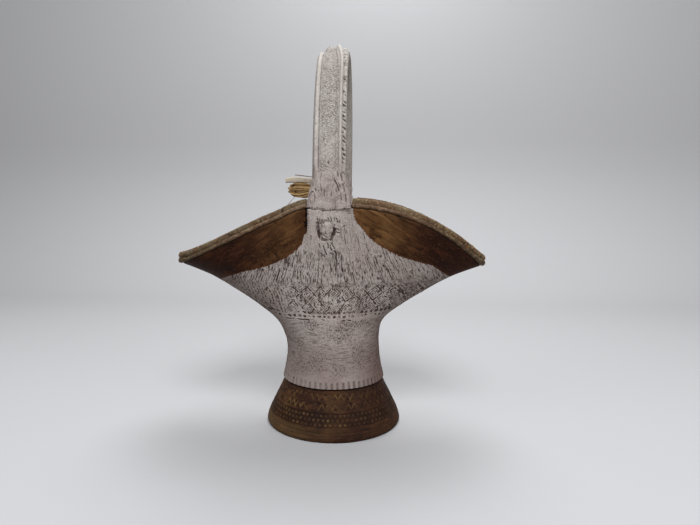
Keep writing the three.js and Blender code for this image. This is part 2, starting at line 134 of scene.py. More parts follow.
# Grid of quads whose corners go where placeAt says, in mm; its first direction closes into a ring.
# placeAt takes two arrays from 0 to 1, round and along, and gives points or points with attributes.
def skin(name, columns, rows, placeAt, closeEnds=False):
    grown = bmesh.new()
    bmesh.ops.create_grid(grown, x_segments=columns, y_segments=rows, size=0.5)
    mesh = bpy.data.meshes.new(name)
    grown.to_mesh(mesh)
    grown.free()
    count = len(mesh.vertices)
    corners = np.empty(count * 3)
    mesh.vertices.foreach_get("co", corners)
    corners = corners.reshape(count, 3) + 0.5
    ring = np.round(corners[:, 0] * columns) / columns
    along = np.round(corners[:, 1] * rows) / rows
    placed = placeAt(ring, along)
    extra = {}
    if isinstance(placed, tuple):
        placed, extra = placed
    mesh.vertices.foreach_set("co", (placed * mm).ravel())
    uv = mesh.uv_layers.new(name="lie")
    loops = np.empty(len(mesh.loops), int)
    mesh.loops.foreach_get("vertex_index", loops)
    uv.data.foreach_set("uv", np.stack([ring[loops], along[loops]], 1).ravel())
    for key, values in extra.items():
        layer = mesh.attributes.new(key, "FLOAT", "POINT")
        layer.data.foreach_set("value", np.asarray(values, float))
    joined = bmesh.new()
    joined.from_mesh(mesh)
    bmesh.ops.remove_doubles(joined, verts=joined.verts, dist=mergeDistance)
    if closeEnds:
        edges = [edge for edge in joined.edges if edge.is_boundary]
        bmesh.ops.holes_fill(joined, edges=edges, sides=0)
    bmesh.ops.recalc_face_normals(joined, faces=joined.faces)
    for face in joined.faces:
        face.smooth = True
    joined.to_mesh(mesh)
    joined.free()
    piece = bpy.data.objects.new(name, mesh)
    bpy.context.collection.objects.link(piece)
    return piece


def dress(piece, material, replaced):
    piece.data.materials.clear()
    piece.data.materials.append(material)
    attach(piece, "root")
    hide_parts(replaced)


# Axis that the rows of marks go round, in metres, as materials measure
markAxis = {"x": 0.004, "y": -0.0007}


# Small tools for materials. A Signal is a node's output that is reckoned with like a number.
class Signal:
    def __init__(self, socket):
        self.socket = socket
        self.tree = socket.id_data

    def __add__(self, other):
        return calc("ADD", self, other)

    def __sub__(self, other):
        return calc("SUBTRACT", self, other)

    def __rsub__(self, other):
        return calc("SUBTRACT", other, self)

    def __mul__(self, other):
        return calc("MULTIPLY", self, other)

    def __abs__(self):
        return calc("ABSOLUTE", self)


def treeOf(values):
    return next(value.tree for value in values if isinstance(value, Signal))


def outputsOf(node):
    return {socket.name: Signal(socket) for socket in node.outputs}


def put(value, socket):
    if isinstance(value, Signal):
        value.tree.links.new(value.socket, socket)
    else:
        socket.default_value = value


def addNode(tree, kind, values=None, **settings):
    made = tree.nodes.new("ShaderNode" + kind)
    for key, value in settings.items():
        setattr(made, key, value)
    for key, value in (values or {}).items():
        put(value, made.inputs[key])
    return made


def calc(operation, *values, kind="Math"):
    made = addNode(treeOf(values), kind, dict(enumerate(values)), operation=operation)
    return Signal(made.outputs[0])


def largest(first, *others):
    for other in others:
        first = calc("MAXIMUM", first, other)
    return first


def fade(value, low, high, toLow=0.0, toHigh=1.0):
    values = {"Value": value, "From Min": low, "From Max": high, "To Min": toLow, "To Max": toHigh}
    made = addNode(value.tree, "MapRange", values, interpolation_type="SMOOTHSTEP")
    return Signal(made.outputs["Result"])


def mixColor(share, low, high):
    made = addNode(share.tree, "Mix", data_type="RGBA")
    for index, value in ((0, share), (6, low), (7, high)):
        put(value, made.inputs[index])
    return Signal(made.outputs[2])


def hypot(first, second):
    return calc("SQRT", first * first + second * second)


def vectorOf(x, y, z=0.0):
    made = addNode(treeOf((x, y, z)), "CombineXYZ", {"X": x, "Y": y, "Z": z})
    return Signal(made.outputs[0])


def split(vector):
    return outputsOf(addNode(vector.tree, "SeparateXYZ", {"Vector": vector}))


# Turn about the axis that rows of marks go round
def turnOf(parts):
    return calc("ARCTAN2", parts["Y"] - markAxis["y"], parts["X"] - markAxis["x"])


def scaled(vector, scale, tilt=0.0):
    values = {"Vector": vector, "Rotation": (0.0, tilt, 0.0), "Scale": scale}
    return Signal(addNode(vector.tree, "Mapping", values).outputs[0])


def grain(vector, scale, detail=3.0, roughness=0.55, distortion=0.0, output="Fac"):
    values = {"Vector": vector, "Scale": scale, "Detail": detail, "Roughness": roughness,
              "Distortion": distortion}
    return Signal(addNode(vector.tree, "TexNoise", values).outputs[output])


def cells(vector, scale, randomness=1.0):
    values = {"Vector": vector, "Scale": scale, "Randomness": randomness}
    return Signal(addNode(vector.tree, "TexVoronoi", values).outputs["Distance"])


def attribute(shader, name):
    return Signal(addNode(shader.id_data, "Attribute", attribute_name=name).outputs["Fac"])


# Linear colour from one written as 0 to 255
def colour(red, green, blue):
    def linear(value):
        value /= 255
        return value / 12.92 if value <= 0.04045 else ((value + 0.055) / 1.055) ** 2.4
    return (linear(red), linear(green), linear(blue), 1.0)


def newGroup(name, inputs, outputs):
    tree = bpy.data.node_groups.new(name, "ShaderNodeTree")
    for sockets, direction in ((inputs, "INPUT"), (outputs, "OUTPUT")):
        for key, kind in sockets.items():
            tree.interface.new_socket(key, in_out=direction, socket_type="NodeSocket" + kind)
    start = outputsOf(tree.nodes.new("NodeGroupInput"))
    end = tree.nodes.new("NodeGroupOutput").inputs
    return tree, start, end


def useGroup(group, values):
    made = treeOf(values.values()).nodes.new("ShaderNodeGroup")
    made.node_tree = group
    for key, value in values.items():
        put(value, made.inputs[key])
    return outputsOf(made)


def newMaterial(name, specular):
    material = bpy.data.materials.new(name)
    material.use_nodes = True
    tree = material.node_tree
    tree.nodes.clear()
    shader = addNode(tree, "BsdfPrincipled")
    shader.inputs["Specular IOR Level"].default_value = specular
    surface = addNode(tree, "OutputMaterial")
    tree.links.new(shader.outputs[0], surface.inputs["Surface"])
    position = outputsOf(addNode(tree, "TexCoord"))["Object"]
    return material, shader, position


def finishMaterial(shader, color, roughness, height, depth):
    put(color, shader.inputs["Base Color"])
    put(roughness, shader.inputs["Roughness"])
    bump = addNode(height.tree, "Bump", {"Height": height, "Distance": depth, "Strength": 1.0})
    put(Signal(bump.outputs[0]), shader.inputs["Normal"])


# The wall of the bowl, as the solid's own lines give it, in mm
wall = {
    "edgeRadius": 44.2,
    "edgeHeight": 39.8,
    "waistRadius": 40.4,
    "waistHeight": 62.0,
    "middleRadius": 42.11,
    "middleHeight": 50.15,
    "halfLength": 128.6,
    "halfDepth": 55.0,
    "flareStart": 76.0,
    "tipHeight": 137.4,
    "saddleHeight": 187.7,
    "mouthShift": -4.0,
    "thickness": 8.2,
    "floor": 46.6,
}
lowerLine = [
    (wall["edgeRadius"], wall["edgeHeight"]),
    (wall["middleRadius"], wall["middleHeight"]),
    (wall["waistRadius"], wall["waistHeight"]),
]
sideShares = [(0.01, 0), (0.068, 0.228), (0.211, 0.401), (0.438, 0.612), (0.71, 0.836), (1, 1)]
frontShares = [(0.02, 0), (0.08, 0.15), (0.2, 0.36), (0.42, 0.58), (0.7, 0.8), (1, 1)]


def wallLine(shares, run, rise):
    flare = [(wall["waistRadius"] + run * out, wall["flareStart"] + rise * up) for out, up in shares]
    return lowerLine + flare


sideLine = wallLine(sideShares, wall["halfLength"] - wall["waistRadius"],
                    wall["tipHeight"] - wall["flareStart"])
frontLine = wallLine(frontShares, wall["halfDepth"] - wall["waistRadius"],
                     wall["saddleHeight"] - wall["flareStart"])


# How far the rim has come down from the saddle towards its tips, 0 to 1
def saddleDrop(turn):
    along = np.cos(turn)
    right = smoothStep(-0.3, 0.3, along)
    power = lerp(1.5, 2.6, right)
    droop = lerp(0.6, 0.15, right)
    return np.abs(along) ** power * (1 + droop * (1 - np.abs(along)))


# Outer face of the wall: level is 0 at its lower edge and 1 at the rim
def wallPoint(level, turn):
    side = catmullRom(sideLine, level)
    front = catmullRom(frontLine, level)
    z = lerp(front[..., 1], side[..., 1], saddleDrop(turn))
    rise = wall["tipHeight"] - wall["flareStart"]
    shift = wall["mouthShift"] * smoothStep(wall["waistHeight"], wall["flareStart"] + 0.4 * rise,
                                            side[..., 1])
    x = side[..., 0] * np.cos(turn) + shift
    y = front[..., 0] * np.sin(turn)
    return np.stack([x, y, z], -1) + footCentre


# Step in level and turn over which the wall's directions are measured
nudge = 0.004


def wallUp(level, turn):
    above = wallPoint(np.minimum(level + nudge, 1), turn)
    return unit(above - wallPoint(np.maximum(level - nudge, 0), turn))


def wallOut(level, turn):
    around = wallPoint(level, turn + nudge) - wallPoint(level, turn - nudge)
    return unit(np.cross(around, wallUp(level, turn)))


# Place at a distance outwards from the wall's outer face
def offWall(level, turn, distance):
    return wallPoint(level, turn) + wallOut(level, turn) * np.asarray(distance)[..., None]


# Edge of the white slip against the brown glaze, in x and z, front and back alike
slipEdge = {
    "left": [(-12.5, 192), (-12.5, 184.1), (-12.8, 174.8), (-14.6, 166.1), (-16.4, 159.8), (-19.8, 154.9),
             (-26.4, 150), (-33.1, 145.8), (-43.3, 141.4), (-52, 138.5), (-61, 136), (-70.3, 133.3),
             (-80.4, 130.2), (-88.7, 126.8), (-98, 121)],
    "right": [(23.7, 192), (23.7, 185.7), (25.1, 178.8), (28.9, 173), (32.8, 168.6), (36.6, 163.9),
              (44.4, 157.5), (52.3, 152.9), (60.2, 148.7), (68.3, 146), (76.4, 143.3), (86.4, 140.4),
              (93.5, 135.2), (101.2, 129.7), (108, 123)],
    "smoothing": 6,
}


# Least distance from points in x and z to a line through the given places
def lineDistance(points, line):
    least = np.full(len(points), 1e9)
    for start, end in zip(line[:-1], line[1:]):
        span = end - start
        share = np.clip(((points - start) @ span) / (span @ span), 0, 1)
        least = np.minimum(least, np.linalg.norm(points - start - share[:, None] * span, axis=1))
    return least


def edgeDistance(points, line):
    line = np.array(line, float)
    line = catmullRom(line, np.linspace(0, 1, (len(line) - 1) * slipEdge["smoothing"] + 1))
    return lineDistance(points, line), line


# Distance in mm into the slip, below 0 in the brown glaze
def slipDistance(places):
    flat = places[:, [0, 2]]
    left, leftLine = edgeDistance(flat, slipEdge["left"])
    right, rightLine = edgeDistance(flat, slipEdge["right"])
    x, z = flat[:, 0], flat[:, 1]
    leftTop = np.interp(-x, -leftLine[:, 0], leftLine[:, 1])
    rightTop = np.interp(x, rightLine[:, 0], rightLine[:, 1])
    insideLeft = np.where(x < leftLine[0, 0], z < leftTop, True)
    insideRight = np.where(x > rightLine[0, 0], z < rightTop, True)
    inside = insideLeft & insideRight
    beyond = (x < leftLine[-1, 0]) | (x > rightLine[-1, 0])
    inside &= ~beyond | (z < leftLine[-1, 1])
    return np.where(inside, 1, -1) * np.minimum(left, right)


# Marks of a tool round the knot and above it, in x and z on the front: half width, depth, line
toolMarks = [
    (1.3, 1.0, [(-3.3, 176.4), (-3.2, 171.7), (-2.6, 168.4), (-1.9, 165.4)]),
    (1.9, 0.9, [(-2.4, 168.0), (-1.3, 164.9)]),
    (1.4, 0.8, [(-1.9, 165.0), (0.4, 163.2), (2.4, 162.9)]),
    (0.7, 0.6, [(2.6, 162.0), (4.9, 163.4)]),
    (0.45, 0.7, [(9.6, 175.2), (9.1, 171.6)]),
    (1.9, 1.0, [(9.4, 171.0), (8.2, 167.6)]),
    (1.2, 0.9, [(8.0, 166.6), (6.4, 163.4)]),
    (0.7, 0.9, [(9.4, 169.4), (12.8, 168.6)]),
    (0.5, 0.8, [(11.2, 172.2), (12.8, 170.9)]),
    (0.5, 0.7, [(15.8, 173.0), (17.1, 174.2)]),
    (0.4, 0.8, [(-3.4, 179.6), (-2.7, 176.8)]),
    (0.4, 0.8, [(-1.7, 179.7), (-1.3, 175.9)]),
    (0.4, 0.7, [(0.3, 179.0), (-0.5, 175.5)]),
    (0.4, 0.6, [(4.5, 180.8), (5.1, 178.7)]),
    (0.4, 0.8, [(6.7, 181.0), (7.5, 177.5)]),
    (0.55, 0.9, [(11.0, 179.9), (11.9, 177.2)]),
    (0.4, 0.7, [(9.4, 180.4), (9.9, 178.0)]),
    (0.5, 0.7, [(13.6, 178.0), (13.2, 176.4)]),
    (0.4, 0.7, [(-2.7, 160.0), (-1.9, 156.3)]),
    (0.5, 0.8, [(0.7, 158.3), (1.5, 154.7)]),
    (0.45, 0.9, [(1.6, 154.0), (3.0, 151.0)]),
    (0.5, 0.7, [(-1.4, 151.9), (1.4, 149.0)]),
    (0.5, 0.8, [(4.0, 160.3), (4.6, 156.4)]),
    (0.5, 0.8, [(5.9, 158.7), (6.4, 154.8)]),
    (0.45, 0.8, [(6.9, 160.3), (9.1, 156.1)]),
    (0.6, 1.0, [(8.9, 154.1), (10.3, 152.1), (9.9, 147.3)]),
    (0.4, 0.7, [(5.6, 152.4), (7.4, 150.9)]),
    (0.4, 0.6, [(-8.6, 166.5), (-9.0, 163.0)]),
]
strapMarks = [
    (0.55, 0.9, [(9.4, 208.8), (11.0, 206.2), (12.4, 203.2), (13.4, 199.8)]),
    (0.5, 0.8, [(14.6, 212.5), (15.6, 208.0)]),
    (0.45, 0.8, [(16.4, 205.0), (17.6, 199.0)]),
    (0.5, 0.8, [(18.0, 197.0), (18.8, 192.0)]),
    (0.7, 1.0, [(5.0, 221.6), (5.5, 220.8)]),
    (0.8, 1.0, [(-8.6, 270.6), (-8.1, 269.6)]),
    (0.35, 0.6, [(2.0, 200.5), (2.2, 196.0)]),
    (0.4, 0.8, [(-7.6, 199.6), (-6.2, 199.0)]),
    (0.4, 0.8, [(-5.0, 201.4), (-4.0, 200.0)]),
    (0.4, 0.7, [(-3.2, 200.8), (-2.0, 200.2)]),
    (0.35, 0.7, [(-8.4, 195.4), (-7.2, 196.6)]),
    (0.35, 0.7, [(11.6, 215.0), (12.6, 211.0)]),
    (0.35, 0.7, [(12.8, 206.4), (14.2, 202.6)]),
    (0.35, 0.6, [(14.4, 198.8), (15.2, 193.5)]),
]
# The seam between strap and root, a crack that opens here and there
seamCrack = [(-11.6, 187.8), (-9.4, 187.7), (-7.6, 187.0), (-5.6, 186.4), (-2.9, 186.9), (1.4, 185.6),
             (3.3, 185.9), (5.9, 185.7), (9.0, 186.4), (12.8, 186.1), (17.0, 187.0), (22.0, 186.8)]
crackOpen = [(-11.6, 0.35), (-9.6, 0.8), (-6.2, 1.0), (-3.6, 0.75), (-2.2, 0.2), (1.0, 0.9), (3.4, 1.0),
             (5.0, 0.35), (7.0, 0.9), (9.6, 0.7), (12.0, 0.3), (16.0, 0.15), (24.0, 0.1)]


# How deep a place lies in any of the marks, from 0 to 1
def markDepth(x, z, marks):
    places = np.stack([x, z], -1)
    depth = np.zeros(len(x))
    for half, deep, line in marks:
        away = lineDistance(places, np.array(line, float))
        depth = np.maximum(depth, deep * (1 - smoothStep(half * 0.55, half * 1.15, away)))
    return depth


# Height at which strap and root meet; side is -1 at the front and 1 at the back, where x is mirrored
def seamHeight(x, side):
    line = np.array(seamCrack)
    return np.interp(x * -side, line[:, 0], line[:, 1])


# How deep a place lies in the crack along the seam, from 0 to 1
def crackDepth(x, z, side):
    opening = np.array(crackOpen)
    wide = np.interp(x * -side, opening[:, 0], opening[:, 1])
    away = np.abs(z - seamHeight(x, side))
    wide = wide * (0.55 + 0.45 * np.sin(x * 2.3) * np.sin(x * 0.9 + 1.0))
    return wide * (1 - smoothStep(0.1 + 0.3 * wide, 0.45 + 0.5 * wide, away))


# Body: outer wall from its lower edge up to the rim, over the rim, and down inside to the floor
body = {
    "columns": 512,
    "levelBands": [(0, 0.12, 22), (0.12, 0.36, 18), (0.36, 0.62, 46), (0.62, 1, 34)],
    "inside": 0.1,
    "rowsUnder": 3,
    "rowsRim": 4,
    "rowsInner": 26,
    "rowsFloor": 5,
    "floorCorner": 4.0,
    "underInset": 1.2,
    "underHeight": 38.6,
    "uneven": 0.7,
    "toothCount": 58,
    "toothDepth": 0.9,
    "toothTop": 45.4,
    "toothFade": 1.6,
}


# Levels of the outer wall's rows, closest together where the surface is cut and pressed
def bodyLevels():
    bands = [np.linspace(low, high, count)[:-1] for low, high, count in body["levelBands"]]
    return np.concatenate(bands + [[1.0]])


def bodyRows():
    return sum(body[key] for key in ("rowsUnder", "rowsRim", "rowsInner", "rowsFloor")) + len(bodyLevels())


# Level ring about the foot's axis
def flatRing(radius, turn, height):
    points = [radius * np.cos(turn), radius * np.sin(turn), np.full(len(radius), height)]
    return np.stack(points, -1) + footCentre


def placeBody(turnShare, along):
    outer = bodyLevels()
    row = np.round(along * (bodyRows() - 1)).astype(int)
    turn = turnShare * 2 * math.pi
    points = np.zeros((len(row), 3))
    outerStart = body["rowsUnder"]
    rimStart = outerStart + len(outer)
    innerStart = rimStart + body["rowsRim"]
    floorStart = innerStart + body["rowsInner"]

    under = row < outerStart
    share = row[under] / body["rowsUnder"]
    radius = (wall["edgeRadius"] - body["underInset"]) * share
    points[under] = flatRing(radius, turn[under], body["underHeight"])

    isOuter = (row >= outerStart) & (row < rimStart)
    level = outer[row[isOuter] - outerStart]
    turns = turn[isOuter]
    base = wallPoint(level, turns)
    wave = body["uneven"] * waves(base, 34.0, 3.1) + 0.25 * body["uneven"] * waves(base, 11.0, 8.2)
    wave *= window(0.0, 0.12, 0.86, 0.99, level)
    tooth = 0.5 + 0.5 * np.cos(turns * body["toothCount"])
    raggedHeight = base[:, 2] + 1.1 * waves(base, 4.0, 2.2)
    low = 1 - smoothStep(body["toothTop"] - body["toothFade"], body["toothTop"], raggedHeight)
    flat = base * np.array([1.0, 1.0, 0.1])
    notch = body["toothDepth"] * smoothStep(0.5, 0.95, tooth + 0.3 * waves(flat, 3.0, 4.0)) * low
    notch *= np.clip(0.6 + 0.8 * waves(flat, 5.0, 7.0) + 0.3 * waves(flat, 20.0, 3.0), 0, 1)
    inward = -np.abs(wave) * 0.6 - notch
    points[isOuter] = offWall(level, turns, inward)

    isRim = (row >= rimStart) & (row < innerStart)
    share = (row[isRim] - rimStart + 1) / (body["rowsRim"] + 1)
    points[isRim] = offWall(np.ones(share.shape), turn[isRim], -wall["thickness"] * share)

    isInner = (row >= innerStart) & (row < floorStart)
    share = (row[isInner] - innerStart) / (body["rowsInner"] - 1)
    level = lerp(1, body["inside"], share)
    points[isInner] = offWall(level, turn[isInner], np.full(len(level), -wall["thickness"]))

    isFloor = row >= floorStart
    share = (row[isFloor] - floorStart) / (body["rowsFloor"] - 1)
    radius = (wall["waistRadius"] - wall["thickness"] - body["floorCorner"]) * (1 - share)
    points[isFloor] = flatRing(radius, turn[isFloor], wall["floor"])

    slip = slipDistance(points)
    outside = (row < rimStart).astype(float)
    tooth = np.zeros(len(row))
    tooth[isOuter] = notch / body["toothDepth"]
    return points, {"slip": slip, "outside": outside, "tooth": tooth}


bodyPiece = skin("body_wall", body["columns"], bodyRows() - 1, placeBody)
print("body wall:", len(bodyPiece.data.polygons), "faces")


# Foot: the flared ring with its stamped bands
foot = {
    "columns": 480,
    "radius": 58.5,
    "height": 38.3,
    "topRadius": 42.8,
    "wall": 8.5,
    "rollHeight": 3.4,
    "rollInset": 2.2,
    "outerRows": 96,
    "grooveHeight": 7.6,
    "grooveDepth": 0.35,
    "grooveWidth": 0.7,
    "lowGrooveHeight": 5.0,
    "lowGrooveDepth": 0.21,
    "lowGrooveWidth": 0.5,
    "stampDepth": 0.35,
    "stampCount": 56,
    "stampRadius": 52.0,
    "topBand": (31.2, 35.4),
    "middleBand": (28.6, 31.2),
    "lowBand": (24.0, 28.6),
    "bandFade": 0.4,
    "dropCount": 84,
    "dropStart": 11.6,
    "dropStep": 3.4,
    "dropFades": (11.2, 11.8, 21.6, 22.2),
}


def bezier(points, share):
    points = [np.array(point, float) for point in points]
    share = np.asarray(share)[..., None]
    while len(points) > 1:
        points = [lerp(a, b, share) for a, b in zip(points[:-1], points[1:])]
    return points[0]


def footProfile():
    r, h, top, w = foot["radius"], foot["height"], foot["topRadius"], foot["wall"]
    inside = r - w - foot["rollInset"]
    outer = bezier([(top, h), (lerp(top, r, 0.29), h * 0.72), (lerp(top, r, 0.89), h * 0.3),
                    (r, foot["rollHeight"])], np.linspace(0, 1, foot["outerRows"]))
    roll = bezier([(r, foot["rollHeight"]), (r, 0), (r - foot["rollInset"], 0)], np.linspace(0, 1, 9))[1:]
    inner = bezier([(inside, 0), (inside, h * 0.35), (lerp(top - w, inside, 0.15), h * 0.6), (top - w, h)],
                   np.linspace(0, 1, 24))
    return np.concatenate([outer, roll, inner, outer[:1]])


# Depth of the pressed marks at an angle and height, and how raised the ridges between them are, 0 to 1
def footStamp(turn, z):
    place = np.stack([turn * foot["stampRadius"], z, np.zeros(len(z))], -1)
    worn = smoothStep(-0.45, 0.25, waves(place, 9.0, 3.0))
    shift = 0.5 * waves(place, 7.0, 6.0)
    turn = turn + 0.006 * waves(place, 6.0, 12.0)

    def zigzag(low, high):
        share = np.clip((z + shift - low) / (high - low), 0, 1)
        wave = np.abs(np.mod(turn * foot["stampCount"] / (2 * math.pi), 1) - 0.5) * 2
        return np.abs(wave - share), window(low - foot["bandFade"], low, high, high + foot["bandFade"], z)

    topLine, topRow = zigzag(*foot["topBand"])
    lowLine, lowRow = zigzag(*foot["lowBand"])
    middleLine, middleRow = zigzag(*foot["middleBand"])
    ridges = (1 - smoothStep(0.05, 0.4, topLine)) * topRow
    ridges = np.maximum(ridges, (1 - smoothStep(0.05, 0.38, lowLine)) * lowRow)
    hollows = np.maximum((1 - ridges) * topRow, (1 - ridges) * lowRow) * 0.8
    hollows = np.maximum(hollows, (1 - smoothStep(0.1, 0.3, middleLine)) * middleRow * 0.6)
    dropRow = (z - foot["dropStart"]) / foot["dropStep"]
    dropPlace = turn * foot["dropCount"] / (2 * math.pi) + 0.5 * np.floor(dropRow)
    across = np.abs(np.mod(dropPlace, 1) - 0.5)
    up = np.abs(np.mod(dropRow, 1) - 0.5)
    inDrops = window(*foot["dropFades"], z)
    drop = (1 - smoothStep(0.16, 0.3, np.hypot(across, up * 0.8))) * inDrops
    hollows = np.maximum(hollows * worn, (1 - drop) * inDrops * (0.55 + 0.45 * worn))
    return hollows, np.maximum(ridges * worn, drop * (0.4 + 0.6 * worn))


def placeFoot(turnShare, along):
    profile = footProfile()
    row = np.round(along * (len(profile) - 1)).astype(int)
    turn = turnShare * 2 * math.pi
    radius, z = profile[row, 0].copy(), profile[row, 1].copy()
    isOuter = row < foot["outerRows"]
    base = np.stack([radius * np.cos(turn), radius * np.sin(turn), z], -1)
    uneven = 0.35 * np.abs(waves(base, 26.0, 5.5)) + 0.12 * np.abs(waves(base, 6.0, 1.5))
    groove = foot["grooveDepth"] * np.exp(-((z - foot["grooveHeight"]) / foot["grooveWidth"]) ** 2)
    lowGroove = np.exp(-((z - foot["lowGrooveHeight"]) / foot["lowGrooveWidth"]) ** 2)
    groove += foot["lowGrooveDepth"] * lowGroove
    stamp, raised = footStamp(turn, z)
    pressed = foot["stampDepth"] * stamp
    radius = radius - np.where(isOuter, uneven + groove + pressed, 0)
    points = np.stack([radius * np.cos(turn), radius * np.sin(turn), z], -1) + footCentre
    return points, {"stamp": stamp * isOuter, "raised": raised * isOuter}


footPiece = skin("foot_ring", foot["columns"], len(footProfile()) - 1, placeFoot)
print("foot:", len(footPiece.data.polygons), "faces")


# Handle: the fluted strap from foot to foot
strap = {
    "width": 26.4,
    "topWidth": 25.2,
    "footWidth": 34.0,
    "thickness": 13.0,
    "setBack": 0.05,
    "seam": 186.8,
    "top": 320.0,
    "reach": 59.0,
    "legRise": 70.0,
    "flare": (26.0, 12.0),
    "proud": 3.9,
    "footX": (1.2, -0.3),
    "topX": 1.4,
    "fluteEnd": 206.0,
    "fluteFade": 16.0,
    "columns": 160,
    "rows": 440,
    "outerShare": 0.76,
    "legLength": 190.0,
    "notchStep": 3.3,
}
strapHalf = strap["width"] / 2
strapBase = wall["halfDepth"] + strap["proud"] - strap["thickness"] / 2
strapTop = strap["top"] - strap["thickness"] / 2
archLine = [(strapBase, strap["seam"] - 3.0), (strap["reach"], strap["seam"] + strap["legRise"]),
            (strap["reach"] * 0.6, strapTop), (0, strapTop)]
# The rolls on the crown, and where they have drifted to on the front leg: centre, half width, top, bulge.
# All but the bulge, which is in mm, are shares: of half the strap's width, and of its thickness.
crownRolls = [(-0.735, 0.25, 0.53, 3.0), (-0.22, 0.285, 0.915, 2.4), (0.1, 0.06, 0.86, 0.5),
              (0.28, 0.17, 1.0, 1.9), (0.7, 0.26, 0.77, 2.2)]
legRolls = [(-0.76, 0.17, 0.86, 2.2), (-0.08, 0.45, 0.93, 1.4), (0.475, 0.085, 0.86, 0.6),
            (0.67, 0.09, 1.0, 1.3), (0.9, 0.14, 0.78, 2.0)]
# The inner corner of the strap's section: inset from the edge, and height
strapEdge = [(0, 3), (1.5, 0.8), (4, 0)]


# Height of the rolls above the strap's flat inner side, and how deep a place lies in a groove between them
def rollHeight(across, onLeg):
    share = across / strapHalf
    tops = []
    for crown, leg in zip(crownRolls, legRolls):
        centre, half, top, bulge = [lerp(a, b, onLeg) for a, b in zip(crown, leg)]
        away = np.abs(share - centre) / half
        swell = top * strap["thickness"] - bulge * np.minimum(away, 1.6) ** 2.4
        tops.append(np.where(away < 1.6, swell - 6.0 * np.maximum(away - 1.0, 0), 0.0))
    tops = np.sort(np.array(tops), axis=0)
    groove = 1 - smoothStep(0.1, 1.3, tops[-1] - tops[-2])
    return tops[-1], groove


# Across and height of the strap's section; the outer face takes most of the way round
def strapSectionPoint(roundShare, fluted, spread, onLeg):
    onOuter = roundShare <= strap["outerShare"]
    share = np.clip(roundShare / strap["outerShare"], 0, 1)
    across = strapHalf * (2 * share - 1)
    squareness = lerp(2.0, 6.0, spread)
    away = np.clip(np.abs(across) / (strapHalf + 1.2), 0, 1)
    plain = strap["thickness"] * (1 - away ** squareness) ** (1 / squareness)
    rolls, groove = rollHeight(across, onLeg)
    rolls = np.maximum(rolls, 0.35 * plain)
    outerHeight = lerp(plain, rolls, fluted)
    back = np.clip((roundShare - strap["outerShare"]) / (1 - strap["outerShare"]), 0, 1)
    edge = [(strapHalf - inset, height) for inset, height in strapEdge]
    edge += [(-place, height) for place, height in reversed(edge)]
    inner = catmullRom(edge, back)
    across = np.where(onOuter, across, inner[..., 0])
    height = np.where(onOuter, outerHeight, np.maximum(inner[..., 1], 0))
    return across, height, groove * onOuter * fluted


# How far the leg has widened into its root, 0 to 1
def strapSpread(side, z):
    flare = np.where(side < 0, strap["flare"][0], strap["flare"][1])
    return 1 - smoothStep(strap["seam"], strap["seam"] + flare, z)


